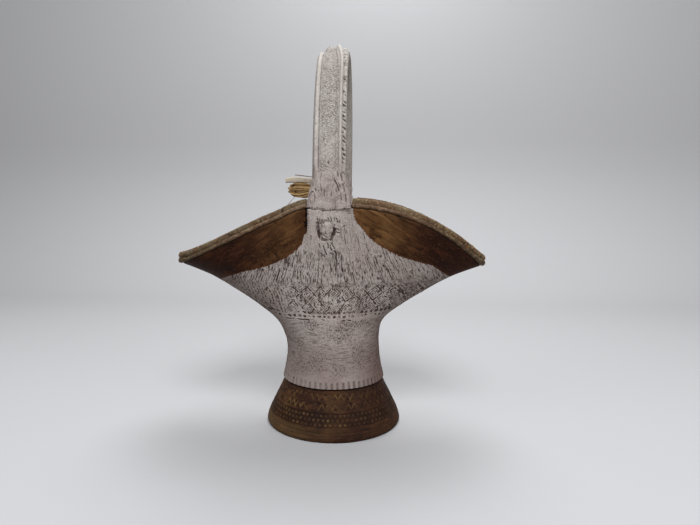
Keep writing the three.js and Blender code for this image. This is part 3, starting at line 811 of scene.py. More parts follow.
def placeStrap(roundShare, along):
    side = np.where(along < 0.5, -1.0, 1.0)
    share = np.clip(1 - np.abs(2 * along - 1), 0, 1)
    at = bezier(archLine, share)
    step = 0.002
    before = bezier(archLine, np.clip(share - step, 0, 1))
    tangent = unit(bezier(archLine, np.clip(share + step, 0, 1)) - before)
    z = at[:, 1]
    fluted = smoothStep(strap["fluteEnd"], strap["fluteEnd"] + strap["fluteFade"], z)
    spread = strapSpread(side, z)
    onLeg = np.where(side < 0, smoothStep(3.0, 34.0, at[:, 0]), 0.0)
    across, height, groove = strapSectionPoint(roundShare, fluted, spread, onLeg)
    leg = lerp(strap["width"], strap["topWidth"], smoothStep(strap["seam"], strapTop, z))
    width = leg + (strap["footWidth"] - strap["width"]) * spread
    middleX = lerp(np.where(side < 0, strap["footX"][0], strap["footX"][1]), strap["topX"],
                   smoothStep(strap["seam"], strapTop, z))
    lift = height - strap["thickness"] / 2
    turnLength = np.where(side < 0, -1, 1) * (1 - share) * strap["legLength"]

    # Hand-made unevenness, a netted broad roll, and notches along the right roll
    place = np.stack([across, turnLength, np.zeros(len(across))], -1)
    onOuter = (roundShare < strap["outerShare"]).astype(float)
    outerFace = onOuter * fluted
    uneven = 0.35 * np.abs(waves(place, 17.0, 2.4)) + 0.14 * np.abs(waves(place, 4.0, 7.7))
    uneven += 0.5 * np.abs(waves(place, 9.0, 6.1)) * (1 - fluted)
    shareAcross = across / strapHalf
    bandLeft = lerp(-0.5, -0.57, onLeg)
    bandRight = lerp(0.03, 0.5, onLeg)
    onBand = window(bandLeft, bandLeft + 0.08, bandRight, bandRight + 0.06, shareAcross)
    net = np.clip(waves(place, 1.6, 11.0), 0, 1) + 0.7 * np.clip(waves(place, 0.9, 5.0), 0, 1)
    stipple = 0.3 * net * onBand * outerFace
    notchLeft = lerp(0.45, 0.74, onLeg)
    onRight = window(notchLeft, notchLeft + 0.05, 0.94, 1.0, shareAcross)
    slant = np.mod((turnLength + 0.9 * across + 1.3 * waves(place, 4.0, 3.0)) / strap["notchStep"], 1)
    notch = (1 - smoothStep(0.08, 0.26, np.abs(slant - 0.5))) * onRight * outerFace
    notch *= np.clip(1.0 + 0.9 * waves(place, 2.2, 8.0), 0, 1)
    notch *= smoothStep(-0.35, 0.2, waves(place, 5.0, 4.2)) * smoothStep(0.0, 0.3, onLeg)

    def lifted(lift):
        return np.stack([
            across * width / strap["width"] + middleX,
            side * (at[:, 0] - strap["setBack"] + tangent[:, 1] * lift),
            z - tangent[:, 0] * lift,
        ], -1) + footCentre

    points = lifted(lift)
    cut = markDepth(points[:, 0], points[:, 2], strapMarks) * (side < 0) * onOuter
    crack = crackDepth(points[:, 0], points[:, 2], side)
    cut = np.maximum(cut, crack * onOuter)
    points = lifted(lift - uneven - stipple - 0.8 * notch - 0.45 * cut)
    points[:, 2] = np.maximum(points[:, 2], seamHeight(points[:, 0], side))
    acrossOut = np.where(roundShare < strap["outerShare"], shareAcross, 2.0)
    return points, {"across": acrossOut, "length": turnLength, "notch": notch, "band": onBand * outerFace,
                    "groove": groove, "cut": cut, "plain": 1 - fluted}


strapPiece = skin("handle_arch", strap["columns"], strap["rows"], placeStrap, closeEnds=True)
print("strap:", len(strapPiece.data.polygons), "faces")


# Roots: tongues of slip-coated clay that spread over the wall below the strap
root = {
    "rows": 150,
    "columns": 150,
    "bottom": 127.5,
    "topGap": -0.9,
    "thickness": 3.9,
    "spread": 50.0,
    "flare": 2.2,
    "roundedFrom": 0.7,
    "outerShare": 0.9,
    "sink": 0.4,
    "knotColumns": 48,
    "knotRows": 28,
    "knotHeight": 171.4,
    "knotShift": 1.4,
    "knotWidth": 8.8,
    "knotLength": 13.0,
    "knotDepth": 1.5,
    "pocketMargin": 2.0,
    "pocketDepth": 1.2,
}
lineSamples = np.linspace(0, 1, 400)
frontHeights = catmullRom(frontLine, lineSamples)[:, 1]


# Level of the wall at this height in front of the handle
def frontLevel(z):
    return np.interp(z, frontHeights, lineSamples)


def footX(side):
    return strap["footX"][0] if side < 0 else strap["footX"][1]


# Turn of the wall at this x, counted from the foot's centre
def turnAt(x, level, side):
    share = (x - wall["mouthShift"]) / catmullRom(sideLine, level)[..., 0]
    return side * (math.pi / 2 - np.arcsin(np.clip(share, -1, 1)))


# Where a place in x on either side lies on the front, on which the tool marks are given
def frontX(x, side):
    return x if side < 0 else 2 * footCentre[0] - x


# How far a place lies from the knot's centre, 1 on the knot's outline
def knotDistance(x, z, side):
    centre = footX(side) + side * root["knotShift"]
    reachX = root["knotWidth"] / 2 + root["pocketMargin"]
    reachZ = root["knotLength"] / 2 + root["pocketMargin"]
    return np.hypot((x - centre) / reachX, (z - root["knotHeight"]) / reachZ)


def placeRoot(side):
    def place(roundShare, down):
        top = frontLevel(strap["seam"] - root["topGap"])
        level = lerp(top, frontLevel(root["bottom"]), down)
        reach = lerp(strap["footWidth"], root["spread"], down ** root["flare"]) / 2
        nearEnd = np.maximum(0, down - root["roundedFrom"]) / (1.01 - root["roundedFrom"])
        rounded = np.sqrt(1 - nearEnd ** 2)
        onOuter = roundShare <= root["outerShare"]
        share = np.where(onOuter, roundShare / root["outerShare"],
                         1 - (roundShare - root["outerShare"]) / (1 - root["outerShare"]))
        across = 2 * share - 1
        x = footX(side) + reach * rounded * across
        ragged = np.array([noise.noise(Vector((value * 34.0, side * 3.0, 1.0))) for value in down])
        x = x - np.sign(across) * 1.1 * np.abs(ragged) * np.abs(across) ** 8
        turn = turnAt(x, level, side)
        low = wallPoint(level, turn)
        proud = root["thickness"] * (1 - smoothStep(0.3, 1.0, down))
        sharp = lerp(14.0, 2.5, smoothStep(0.25, 0.8, down))
        soft = lerp(3.2, 2.0, smoothStep(0.0, 0.7, down))
        mirrored = across * -side
        proud = proud * (1 - np.abs(across) ** np.where(mirrored < 0, sharp, soft))
        stretched = low * np.array([1.0, 1.0, 0.35])
        ripple = 0.3 * waves(low, 6.0, 9.3) + 0.22 * waves(stretched, 1.7, 3.3)
        ripple *= 1 - np.abs(across) ** 6
        uneven = 0.75 + 0.5 * waves(low, 3.0, 1.7)
        pocket = root["pocketDepth"] * (1 - smoothStep(0.66, 1.0, knotDistance(x, low[:, 2], side)))
        cut = markDepth(frontX(x + footCentre[0], side), low[:, 2], toolMarks)
        crack = crackDepth(x + footCentre[0], low[:, 2], side)
        cut = np.maximum(cut, crack)
        lift = proud + ripple * smoothStep(0.2, 1.2, proud) - pocket * np.clip(uneven, 0.3, 1) - 0.6 * cut
        lift = np.where(onOuter, np.maximum(lift, -root["sink"]), -root["sink"])
        points = offWall(level, turn, lift)
        points[:, 2] = np.minimum(points[:, 2], seamHeight(points[:, 0], side))
        return points, {"pocket": pocket / root["pocketDepth"], "cut": cut * onOuter}
    return place


def placeKnot(side):
    level = frontLevel(root["knotHeight"])
    turn = turnAt(np.array(footX(side) + side * root["knotShift"]), level, side)
    level, turn = np.array([float(level)]), np.array([float(turn)])
    out = wallOut(level, turn)[0]
    up = wallUp(level, turn)[0]
    right = unit(np.cross(out, up))
    lift = root["thickness"] - root["pocketDepth"] + root["knotDepth"] * 0.15
    centre = offWall(level, turn, np.array([lift]))[0]

    def place(roundShare, along):
        angle = roundShare * 2 * math.pi
        polar = along * math.pi
        flat = np.sin(polar) ** 0.8
        x = np.cos(angle) * flat * root["knotWidth"] / 2
        z = np.sin(angle) * flat * root["knotLength"] / 2
        y = np.cos(polar) * root["knotDepth"] * 0.6
        points = centre + x[:, None] * right + z[:, None] * up + y[:, None] * out
        rough = 0.8 * waves(points, 2.6, 5.0) + 0.45 * waves(points, 1.1, 2.0)
        return points + (rough * flat)[:, None] * out
    return place


rootPieces = {}
knotPieces = {}
for sideName, side in (("front", -1), ("back", 1)):
    rootPieces[sideName] = skin("root_" + sideName, root["columns"], root["rows"], placeRoot(side),
                                closeEnds=True)
    knotPieces[sideName] = skin("knot_" + sideName, root["knotColumns"], root["knotRows"],
                                placeKnot(side))
print("roots and knots done")


# Rim: a stamped strip on the wall's end, and a smooth bead along its outer corner
rim = {
    "gap": 0.3,
    "stripHeight": 6.8,
    "stripNear": 2.8,
    "stripFar": 8.8,
    "squareness": 0.6,
    "topShare": 0.7,
    "patternRadius": 100.0,
    "stripColumns": 56,
    "stripRows": 560,
    "beadRadius": 1.7,
    "beadInset": 0.8,
    "tipSwell": 1.65,
    "tipRise": 0.6,
    "tipInset": 1.1,
    "beadColumns": 20,
    "beadRows": 360,
    "handleClear": 17.3,
}


# Turn along one half of the rim, from the handle's front foot over the tip to its back foot
def rimTurns(side, along):
    start = turnAt(np.array(footX(-1) + side * rim["handleClear"]), np.array(1.0), -1)
    end = turnAt(np.array(footX(1) + side * rim["handleClear"]), np.array(1.0), 1)
    if side < 0:
        return lerp(float(start), float(end) - 2 * math.pi, along)
    return lerp(float(start), float(end), along)


def placeAlongRim(turn, up, inwards):
    level = np.ones(len(turn))
    onRim = wallPoint(level, turn) + wallUp(level, turn) * up[:, None]
    return onRim - wallOut(level, turn) * inwards[:, None]


def placeStrip(side):
    def place(roundShare, along):
        turn = rimTurns(side, along)
        onTop = roundShare <= rim["topShare"]
        angle = np.where(onTop, roundShare / rim["topShare"] * math.pi, math.pi)
        lean = np.sign(np.cos(angle)) * np.abs(np.cos(angle)) ** rim["squareness"]
        rise = np.abs(np.sin(angle)) ** rim["squareness"]
        back = np.clip((roundShare - rim["topShare"]) / (1 - rim["topShare"]), 0, 1)
        lean = np.where(onTop, lean, lerp(-1.0, 1.0, back))
        rise = np.where(onTop, rise, 0.0)
        length = turn * rim["patternRadius"]
        flat = np.stack([length, lean * 3, np.zeros(len(turn))], -1)
        press = 0.5 * np.clip(waves(flat, 2.6, 4.0), 0, 1) + 0.3 * np.clip(waves(flat, 1.2, 9.0), 0, 1)
        press += 0.35 * np.abs(waves(flat, 13.0, 2.0))
        worn = np.where(onTop, press, 0) * np.sin(angle)
        up = rim["gap"] + (rim["stripHeight"] - rim["gap"]) * rise - worn * rise
        inwards = lerp(rim["stripFar"], rim["stripNear"], 0.5 + 0.5 * lean) + 0.3 * worn * np.sign(lean)
        return placeAlongRim(turn, up, inwards), {"press": np.clip(press, 0, 1)}
    return place


def placeBead(side):
    def place(roundShare, along):
        turn = rimTurns(side, along)
        angle = roundShare * 2 * math.pi
        length = turn * rim["patternRadius"]
        flat = np.stack([length, np.cos(angle) * 2, np.sin(angle) * 2], -1)
        worn = 0.16 * np.abs(waves(flat, 7.0, 1.0)) + 0.1 * np.clip(waves(flat, 2.0, 6.0), 0, 1)
        atTip = smoothStep(0.9, 0.998, np.abs(np.cos(turn)))
        radius = rim["beadRadius"] * (1 - worn) * lerp(1.0, rim["tipSwell"], atTip)
        up = rim["gap"] + rim["beadRadius"] + rim["tipRise"] * atTip + radius * np.cos(angle)
        inwards = rim["beadInset"] + rim["tipInset"] * atTip + radius * np.sin(angle)
        return placeAlongRim(turn, up, inwards)
    return place


stripPieces = {}
beadPieces = {}
for sideName, side in (("left", -1), ("right", 1)):
    stripPieces[sideName] = skin("strip_" + sideName, rim["stripColumns"], rim["stripRows"],
                                 placeStrip(side), closeEnds=True)
    beadPieces[sideName] = skin("bead_" + sideName, rim["beadColumns"], rim["beadRows"], placeBead(side),
                                closeEnds=True)
print("rim done")


# Raffia: strands are flat ribbons along smooth curves
raffia = {
    "seed": 11,
    "middleY": 53.4,
    "bottom": 194.4,
    "top": 208.3,
    "foldX": -47.4,
    "startX": -18.4,
    "neck": 202.4,
    "pinch": 0.4,
    "hidden": 2.0,
    "spreadY": 3.9,
    "spreadZ": 3.4,
    "wander": 0.5,
    "foldEase": 0.8,
    "strandCount": 38,
    "strandWidths": (0.4, 0.85),
    "strandSteps": 56,
    "strandTwist": 0.6,
    "sides": 8,
}
# The tie's loops stand side by side along x, and the wrap's turns lie above each other
tie = {
    "count": 6,
    "startX": -20.6,
    "step": 1.0,
    "tilt": 0.8,
    "height": 201.3,
    "reachY": 3.9,
    "reachZ": 5.3,
    "points": 16,
    "steps": 48,
    "strand": (0.75, 0.3),
}
winding = {
    "count": 4,
    "bottom": 200.3,
    "step": 1.2,
    "rise": 0.45,
    "shiftX": -0.25,
    "gapX": 0.1,
    "gapY": 0.5,
    "points": 32,
    "steps": 120,
    "strand": (0.62, 0.22),
}
dice = random.Random(raffia["seed"])


# Random shift either way
def drift(reach):
    return dice.uniform(-reach, reach)


# Ribbon with a cupped section; it lies across the given axis, or else across the view from the front
def placeStrand(path, wide, thick, turnStart, turnEnd, seed, axis):
    path = np.array(path, float)

    def place(roundShare, along):
        step = 0.004
        middle = catmullRom(path, along)
        before = catmullRom(path, np.maximum(along - step, 0))
        direction = unit(catmullRom(path, np.minimum(along + step, 1)) - before)
        side = np.cross(direction, np.array([0.0, 1.0, 0.02]))
        if axis is not None:
            side = np.array(axis, float) - (direction @ np.array(axis, float))[:, None] * direction
        side = unit(side)
        out = np.cross(side, direction)
        twist = lerp(turnStart, turnEnd, along)
        across = side * np.cos(twist)[:, None] + out * np.sin(twist)[:, None]
        above = out * np.cos(twist)[:, None] - side * np.sin(twist)[:, None]
        angle = roundShare * 2 * math.pi
        width = wide * (1 + 0.18 * np.array([noise.noise(Vector((a * 9, seed, 0))) for a in along]))
        cup = 0.35 * thick * np.cos(angle) ** 2
        points = middle + across * (width * np.cos(angle))[:, None]
        points = points + above * (thick * np.sin(angle) + cup)[:, None] + footCentre
        return points, {"tone": np.full(len(along), seed % 1.0)}
    return place


def strand(name, path, wide, thick, seed, steps, turnStart=0.0, turnEnd=0.0, axis=None):
    placeAt = placeStrand(path, wide, thick, turnStart, turnEnd, seed, axis)
    return skin(name, raffia["sides"], steps, placeAt, closeEnds=True)


def join(pieces, name):
    for piece in bpy.context.view_layer.objects:
        piece.select_set(piece in pieces)
    bpy.context.view_layer.objects.active = pieces[0]
    bpy.ops.object.join()
    pieces[0].name = name
    pieces[0].select_set(False)
    return pieces[0]


# One folded strand of the hank: out from the knot, round its fold, and back
def hankStrand(index):
    start = raffia["startX"]
    middle = raffia["middleY"]
    share = (index + dice.uniform(0.1, 0.9)) / raffia["strandCount"]
    reach = 1 - 0.26 * abs(2 * share - 1.1) ** 2.6 - dice.uniform(0, 0.07)
    fold = lerp(start, raffia["foldX"], reach)
    z = lerp(raffia["bottom"] + 0.5, raffia["top"] - 0.5, share)
    other = z + drift(raffia["spreadZ"])
    other = min(max(other, raffia["bottom"] + 1.2), raffia["top"] - 0.7)
    y = middle + drift(raffia["spreadY"])
    otherY = middle + drift(raffia["spreadY"])
    neck = raffia["neck"]
    startZ, endZ = lerp(neck, z, raffia["pinch"]), lerp(neck, other, raffia["pinch"])
    bend = lerp(z, other, 0.5)
    path = [
        (start + raffia["hidden"], lerp(middle, y, 0.6), startZ),
        (lerp(start, fold, 0.35), y, lerp(startZ, z, 0.55) + drift(raffia["wander"])),
        (lerp(start, fold, 0.7), y, z + drift(raffia["wander"])),
        (fold + raffia["foldEase"], lerp(y, otherY, 0.3), lerp(z, bend, 0.4)),
        (fold + raffia["foldEase"], lerp(y, otherY, 0.7), lerp(other, bend, 0.4)),
        (lerp(start, fold, 0.7), otherY, other + drift(raffia["wander"])),
        (lerp(start, fold, 0.35), otherY, lerp(endZ, other, 0.55) + drift(raffia["wander"])),
        (start + raffia["hidden"], lerp(middle, otherY, 0.6), endZ),
    ]
    wide = dice.uniform(*raffia["strandWidths"])
    return strand(f"strand_{index}", path, wide, wide * 0.3, index * 0.37 + 0.05, raffia["strandSteps"],
                  drift(raffia["strandTwist"]), drift(raffia["strandTwist"]))


hank = join([hankStrand(index) for index in range(raffia["strandCount"])], "raffia_hank")

ribbonPath = [(-17.0, 53.6, 207.4), (-24.0, 53.4, 209.5), (-34.0, 53.4, 211.0), (-44.0, 53.4, 211.2),
              (-50.6, 53.4, 210.7)]
ribbon = strand("raffia_cut_end", ribbonPath, 2.5, 0.42, 0.62, 60, 0.1, -0.15)

threadPath = [(-17.0, 53.4, 208.6), (-23.0, 53.4, 213.2), (-32.0, 53.4, 214.8), (-41.6, 53.4, 215.9)]
hairPath = [(-40.5, 52.6, 196.6), (-43.0, 52.4, 193.6), (-46.2, 52.3, 190.0), (-48.6, 52.2, 187.4)]
thread = join([strand("thread_top", threadPath, 0.4, 0.34, 0.9, 40),
               strand("thread_low", hairPath, 0.22, 0.2, 0.4, 30)], "raffia_threads")

knotLoops = []
for index in range(tie["count"]):
    x = tie["startX"] + index * tie["step"]
    tilt = drift(tie["tilt"])
    path = []
    for angle in np.linspace(0, 2 * math.pi, tie["points"] + 1):
        path.append((x + tilt * math.sin(angle), raffia["middleY"] + tie["reachY"] * math.cos(angle),
                     tie["height"] + tie["reachZ"] * math.sin(angle)))
    knotLoops.append(strand(f"tie_{index}", path, *tie["strand"], 0.2 + 0.13 * index,
                            tie["steps"], axis=(1, 0, 0)))
raffiaKnot = join(knotLoops, "raffia_tie")


# Distance in y of the handle's leg from the middle, at a height
def legMiddle(z):
    share = np.linspace(0, 1, 200)
    line = bezier(archLine, share)
    return np.interp(z, line[:, 1], line[:, 0])


# Cosine or sine that is drawn out towards its ends, so that a loop gets a squarish outline
def squared(value):
    return math.copysign(math.sqrt(abs(value)), value)


wrapLoops = []
for index in range(winding["count"]):
    z = winding["bottom"] + index * winding["step"]
    width = strap["width"] / 2 + winding["gapX"]
    depth = strap["thickness"] / 2 + winding["gapY"]
    path = []
    for angle in np.linspace(0, 2 * math.pi, winding["points"] + 1):
        height = z + winding["rise"] * math.sin(angle * 0.5 + index)
        path.append((width * squared(math.cos(angle)) + winding["shiftX"],
                     legMiddle(height) + depth * squared(math.sin(angle)), height))
    wrapLoops.append(strand(f"turn_{index}", path, *winding["strand"], 0.15 + 0.21 * index,
                            winding["steps"], axis=(0, 0, 1)))
wrap = join(wrapLoops, "raffia_turns")
print("raffia done")


# Shared looks
def slipGroup():
    # Matt white slip over brown clay: marks are where tools went through to the dark clay
    tree, start, end = newGroup("slip_look", {"Position": "Vector", "Marks": "Float", "Shade": "Float"},
                                {"Color": "Color", "Roughness": "Float", "Height": "Float"})
    position = start["Position"]
    broad = grain(position, 34.0, 3.0, 0.6)
    middle = grain(position, 150.0, 3.0, 0.6)
    fine = grain(position, 620.0, 3.0, 0.65)
    tiny = grain(position, 1150.0, 2.0, 0.6)
    base = mixColor(fade(broad, 0.35, 0.68), colour(192, 184, 180), colour(176, 165, 161))
    base = mixColor(fade(middle, 0.48, 0.72, 0, 0.15), base, colour(150, 137, 131))
    base = mixColor(fade(fine, 0.5, 0.68, 0, 0.42), base, colour(136, 120, 114))
    base = mixColor(fade(fine, 0.45, 0.32, 0, 0.45), base, colour(208, 203, 200))
    base = mixColor(fade(tiny, 0.54, 0.66, 0, 0.5), base, colour(128, 112, 106))
    base = mixColor(start["Shade"], base, colour(112, 95, 90))
    base = mixColor(start["Marks"], base, colour(66, 49, 45))
    put(base, end["Color"])
    put(fade(broad, 0.3, 0.7, 0.88, 0.97), end["Roughness"])
    height = calc("MULTIPLY_ADD", fine, 0.7, tiny * 0.2)
    height = calc("MULTIPLY_ADD", middle, 0.5, height)
    height = height - start["Marks"] * 1.5
    put(height, end["Height"])
    return tree


def brownGroup():
    # Brown clay with a thin glaze: the warmth input runs from dark umber at 0 to ochre at 1, and carries
    # painted light and shade as well as the glaze's own tone
    inputs = {"Position": "Vector", "Streaks": "Vector", "WarmthAndLight": "Float", "Marks": "Float"}
    tree, start, end = newGroup("brown_look", inputs,
                                {"Color": "Color", "Roughness": "Float", "Height": "Float"})
    position = start["Position"]
    broad = grain(position, 40.0, 4.0, 0.6, 0.6)
    streak = grain(start["Streaks"], 1.0, 4.0, 0.65, 0.4)
    fine = grain(position, 650.0, 3.0, 0.62)
    dark = mixColor(fade(broad, 0.35, 0.65), colour(40, 21, 15), colour(56, 32, 22))
    light = mixColor(fade(broad, 0.35, 0.65), colour(88, 58, 35), colour(116, 84, 50))
    base = mixColor(start["WarmthAndLight"], dark, light)
    bright = mixColor(start["WarmthAndLight"], colour(84, 48, 32), colour(144, 110, 70))
    base = mixColor(fade(streak, 0.5, 0.66, 0, 0.6), base, bright)
    base = mixColor(fade(streak, 0.47, 0.34, 0, 0.6), base, colour(33, 18, 13))
    base = mixColor(fade(fine, 0.56, 0.72, 0, 0.35), base, colour(122, 94, 64))
    base = mixColor(start["Marks"], base, colour(20, 11, 8))
    put(base, end["Color"])
    put(fade(broad, 0.3, 0.7, 0.58, 0.72), end["Roughness"])
    height = calc("MULTIPLY_ADD", fine, 0.35, streak * 0.6)
    put(height - start["Marks"], end["Height"])
    return tree


def rimStreaks(parts):
    # Place for streaks that run down from the handle towards the tips
    side = abs(parts["X"])
    along = side * 0.87 - parts["Z"] * 0.5
    across = side * 0.5 + parts["Z"] * 0.87
    return vectorOf(along * 46.0, across * 260.0, parts["Y"] * 60.0)


def barkGroup():
    # Bark-like strokes that fan out from under the handle, dense below and sparse beside the knot
    tree, start, end = newGroup("bark_strokes", {"Position": "Vector"},
                                {"Marks": "Float", "Relief": "Float"})
    parts = split(start["Position"])
    x = parts["X"] - 0.005
    depth = 0.262 - parts["Z"]
    angle = calc("ARCTAN2", x, depth)
    far = hypot(x, depth)
    behind = calc("GREATER_THAN", parts["Y"], 0.0) * 7.3

    def fan(across, along, offset):
        return vectorOf(angle * across, far * along, behind + offset)

    patch = grain(start["Position"], 48.0, 2.0, 0.5)
    low = fade(parts["Z"], 0.168, 0.142)
    lowest = fade(parts["Z"], 0.15, 0.132)
    left = fade(parts["X"], 0.006, -0.008)
    smooth = fade(parts["X"], 0.012, 0.004) * fade(parts["Z"], 0.15, 0.162)
    calm = fade(parts["Z"], 0.166, 0.178, 0.0, 0.05)
    dense = low * 0.03 + left * 0.02
    dense = dense + fade(patch, 0.38, 0.62, -0.03, 0.012)
    dense = dense - calc("MULTIPLY_ADD", smooth, 0.06, calm)

    def strokes(across, along, offset, low, high, more):
        field = grain(fan(across, along, offset), 1.0, 1.0, 0.5)
        return fade(field + more, low, high)

    longMarks = strokes(115.0, 46.0, 0.0, 0.64, 0.71, dense)
    middleMarks = strokes(165.0, 95.0, 4.0, 0.65, 0.71, dense)
    shortMarks = strokes(190.0, 230.0, 6.0, 0.64, 0.7, calc("MULTIPLY_ADD", lowest, 0.035, dense))
    fades = fade(parts["Z"], 0.121, 0.13) * fade(parts["Z"], 0.189, 0.18)
    put(largest(longMarks, middleMarks, shortMarks) * fades, end["Marks"])
    relief = grain(fan(125.0, 38.0, 9.0), 1.0, 3.0, 0.6)
    relief = relief * (1.0 - smooth * 0.6)
    put(relief * fades, end["Relief"])
    return tree


def bandGroup():
    # Pressed lozenges, a row of dots and drawn lines round the top of the waist, brushed marks below
    tree, start, end = newGroup("band_marks", {"Position": "Vector"}, {"Marks": "Float"})
    position = start["Position"]
    parts = split(position)
    warp = grain(position, 75.0, 3.0, 0.5, output="Color")
    shift = calc("SUBTRACT", warp, (0.5, 0.5, 0.5), kind="VectorMath")
    bent = calc("MULTIPLY_ADD", shift, (0.0052, 0.0052, 0.0036), position, kind="VectorMath")
    warped = split(bent)
    angle = turnOf(warped)
    z = warped["Z"]

    def fromMiddle(value):
        return abs(calc("FRACT", value) - 0.5)

    worn = grain(position, 260.0, 3.0, 0.6)
    patch = grain(position, 70.0, 2.0, 0.5)
    keep = worn + fade(patch, 0.35, 0.65, -0.03, 0.12)
    roundPlace = fromMiddle((angle + 4.02) * (26 / (2 * math.pi)))
    upPlace = fromMiddle((z - 0.0995) * (1 / 0.0125))
    lozenge = abs(roundPlace + upPlace - 0.5)
    outerLine = fade(lozenge, 0.085, 0.04)
    innerLine = fade(abs(lozenge - 0.2), 0.06, 0.03)
    core = fade(abs(lozenge - 0.4), 0.07, 0.04)
    lines = largest(outerLine, largest(innerLine * 0.7, core * 0.7))
    lines = lines * fade(keep, 0.44, 0.56, 0.05, 1.0)
    lines = lines * fade(grain(position, 520.0, 2.0, 0.5), 0.4, 0.52, 0.25, 1.0)
    scratch = scaled(position, (420.0, 420.0, 120.0), 0.75)
    other = scaled(position, (420.0, 420.0, 120.0), -0.8)
    nicks = largest(fade(grain(scratch, 1.0, 2.0, 0.6), 0.6, 0.67),
                    fade(grain(other, 1.0, 2.0, 0.6), 0.6, 0.67))
    lines = largest(lines, nicks * fade(z, 0.102, 0.107, 0.15, 0.95))
    comb = scaled(bent, (430.0, 430.0, 230.0), 0.55)
    combParts = split(comb)
    combRow = fade(fromMiddle(combParts["Z"]), 0.44, 0.34)
    combTooth = fade(fromMiddle(combParts["X"]), 0.2, 0.1)
    combed = combRow * combTooth * fade(worn, 0.42, 0.58)
    combed = largest(combed, nicks * 0.8)
    combed = combed * fade(parts["X"], -0.026, -0.034)
    lines = lines * fade(parts["X"], -0.036, -0.026)
    lines = largest(lines, combed)
    inBand = fade(z, 0.1, 0.102) * fade(z, 0.129, 0.1235)
    lattice = lines * inBand

    dotRound = fromMiddle((angle + 4.0) * (66 / (2 * math.pi)))
    dotUp = fromMiddle((z - 0.0973) * (1 / 0.0036))
    dotFar = hypot(dotRound, dotUp)
    inDots = fade(z, 0.0972, 0.0976) * fade(z, 0.1047, 0.1043)
    dotFar = dotFar + fade(worn, 0.35, 0.65, 0.12, -0.08)
    stretch = grain(vectorOf(angle * 2.6, z * 90.0, 7.0), 1.0, 2.0, 0.5)
    dots = fade(dotFar, 0.38, 0.2) * (inDots * fade(stretch, 0.42, 0.54, 0.15))
    drawn = fade(abs(z - 0.0962), 0.0007, 0.0003)
    drawn = drawn * (fade(keep, 0.46, 0.58) * fade(stretch, 0.46, 0.56))

    down = vectorOf(angle * 75.0, parts["Z"] * 460.0, 3.0)
    flat = vectorOf(angle * 5.0, parts["Z"] * 980.0, 1.0)
    high = fade(z, 0.07, 0.09)
    dashes = grain(down, 1.0, 2.0, 0.6) + fade(patch, 0.42, 0.6, -0.08, 0.06)
    dashes = fade(calc("MULTIPLY_ADD", high, 0.05, dashes), 0.62, 0.69, 0, 0.75)
    brushed = fade(grain(flat, 1.0, 3.0, 0.6) + fade(patch, 0.35, 0.6, 0.05, -0.03), 0.56, 0.7, 0, 0.45)
    below = largest(dashes, brushed) * (fade(z, 0.0965, 0.094) * fade(z, 0.044, 0.056))
    marks = largest(lattice, dots, largest(drawn, below))
    put(marks, end["Marks"])
    return tree


slipLook = slipGroup()
brownLook = brownGroup()
barkMarks = barkGroup()
bandMarks = bandGroup()


def wallMaterial():
    material, shader, position = newMaterial("slip_and_brown", 0.06)
    bark = useGroup(barkMarks, {"Position": position})
    band = useGroup(bandMarks, {"Position": position})["Marks"]
    marks = largest(bark["Marks"], band) * 0.95
    marks = largest(marks, attribute(shader, "tooth") * 0.7)
    parts = split(position)
    # Painted shade on the slip: darker in the hollows of the bark relief, towards the bottom of the waist,
    # and on the waist's right side
    shade = fade(bark["Relief"], 0.46, 0.64, 0, 0.38)
    shade = largest(shade, fade(parts["Z"], 0.105, 0.055, 0.1, 0.6))
    rightSideShade = fade(parts["X"], 0.02, 0.046) * fade(parts["Z"], 0.11, 0.09, 0, 0.4)
    shade = shade + rightSideShade
    slip = useGroup(slipLook, {"Position": position, "Marks": marks, "Shade": shade})
    # Painted light and shade over the glaze's own tone: the brown is painted ochre and lighter near the
    # handle and on the right side, and dark umber towards the tips
    fromHandle = abs(parts["X"] - 0.004)
    warmthAndLight = fade(fromHandle, 0.085, 0.018, 0.0, 0.75)
    warmthAndLight = warmthAndLight * fade(parts["X"], -0.02, 0.02, 0.65, 1.5)
    pits = fade(cells(position, 300.0), 0.2, 0.1)
    pits = pits * fade(grain(position, 60.0, 2.0), 0.5, 0.6)
    stainsAndGapShadow = fade(grain(position, 75.0, 4.0, 0.7), 0.56, 0.7, 0, 0.7)
    # Painted shadow beside the root's proud left edge: gap marks a dark band there, which darkens the
    # brown along with the real stains and pushes the slip's edge back off it
    uneven = fade(grain(position, 260.0, 2.0, 0.6), 0.3, 0.7, -0.0012, 0.0012)
    gapX = parts["X"] + uneven
    gap = fade(gapX, -0.0146, -0.0132) * fade(parts["Z"], 0.164, 0.174)
    stainsAndGapShadow = largest(stainsAndGapShadow, gap * fade(parts["X"], 0.0, -0.004))
    brown = useGroup(brownLook,
                     {"Position": position, "Streaks": rimStreaks(parts), "WarmthAndLight": warmthAndLight,
                      "Marks": largest(pits, stainsAndGapShadow)})
    slipWithGapShadow = attribute(shader, "slip") - gap * fade(parts["X"], -0.006, -0.009, 0, 6.0)
    ragged = slipWithGapShadow + fade(grain(position, 500.0, 3.0, 0.6), 0.3, 0.7, -0.45, 0.45)
    outside = attribute(shader, "outside")
    isSlip = fade(ragged, -0.25, 0.25) * fade(outside, 0.4, 0.6)
    rusty = fade(ragged, -2.4, -0.3) * 0.4
    brownColor = mixColor(rusty, brown["Color"], colour(92, 56, 32))
    color = mixColor(isSlip, brownColor, slip["Color"])
    roughness = brown["Roughness"] * (1.0 - isSlip) + slip["Roughness"] * isSlip
    slipHeight = slip["Height"] + calc("MULTIPLY_ADD", bark["Relief"], 0.9, 0.8)
    height = brown["Height"] * (1.0 - isSlip) + slipHeight * isSlip
    finishMaterial(shader, color, roughness, height, 0.0006)
    return material


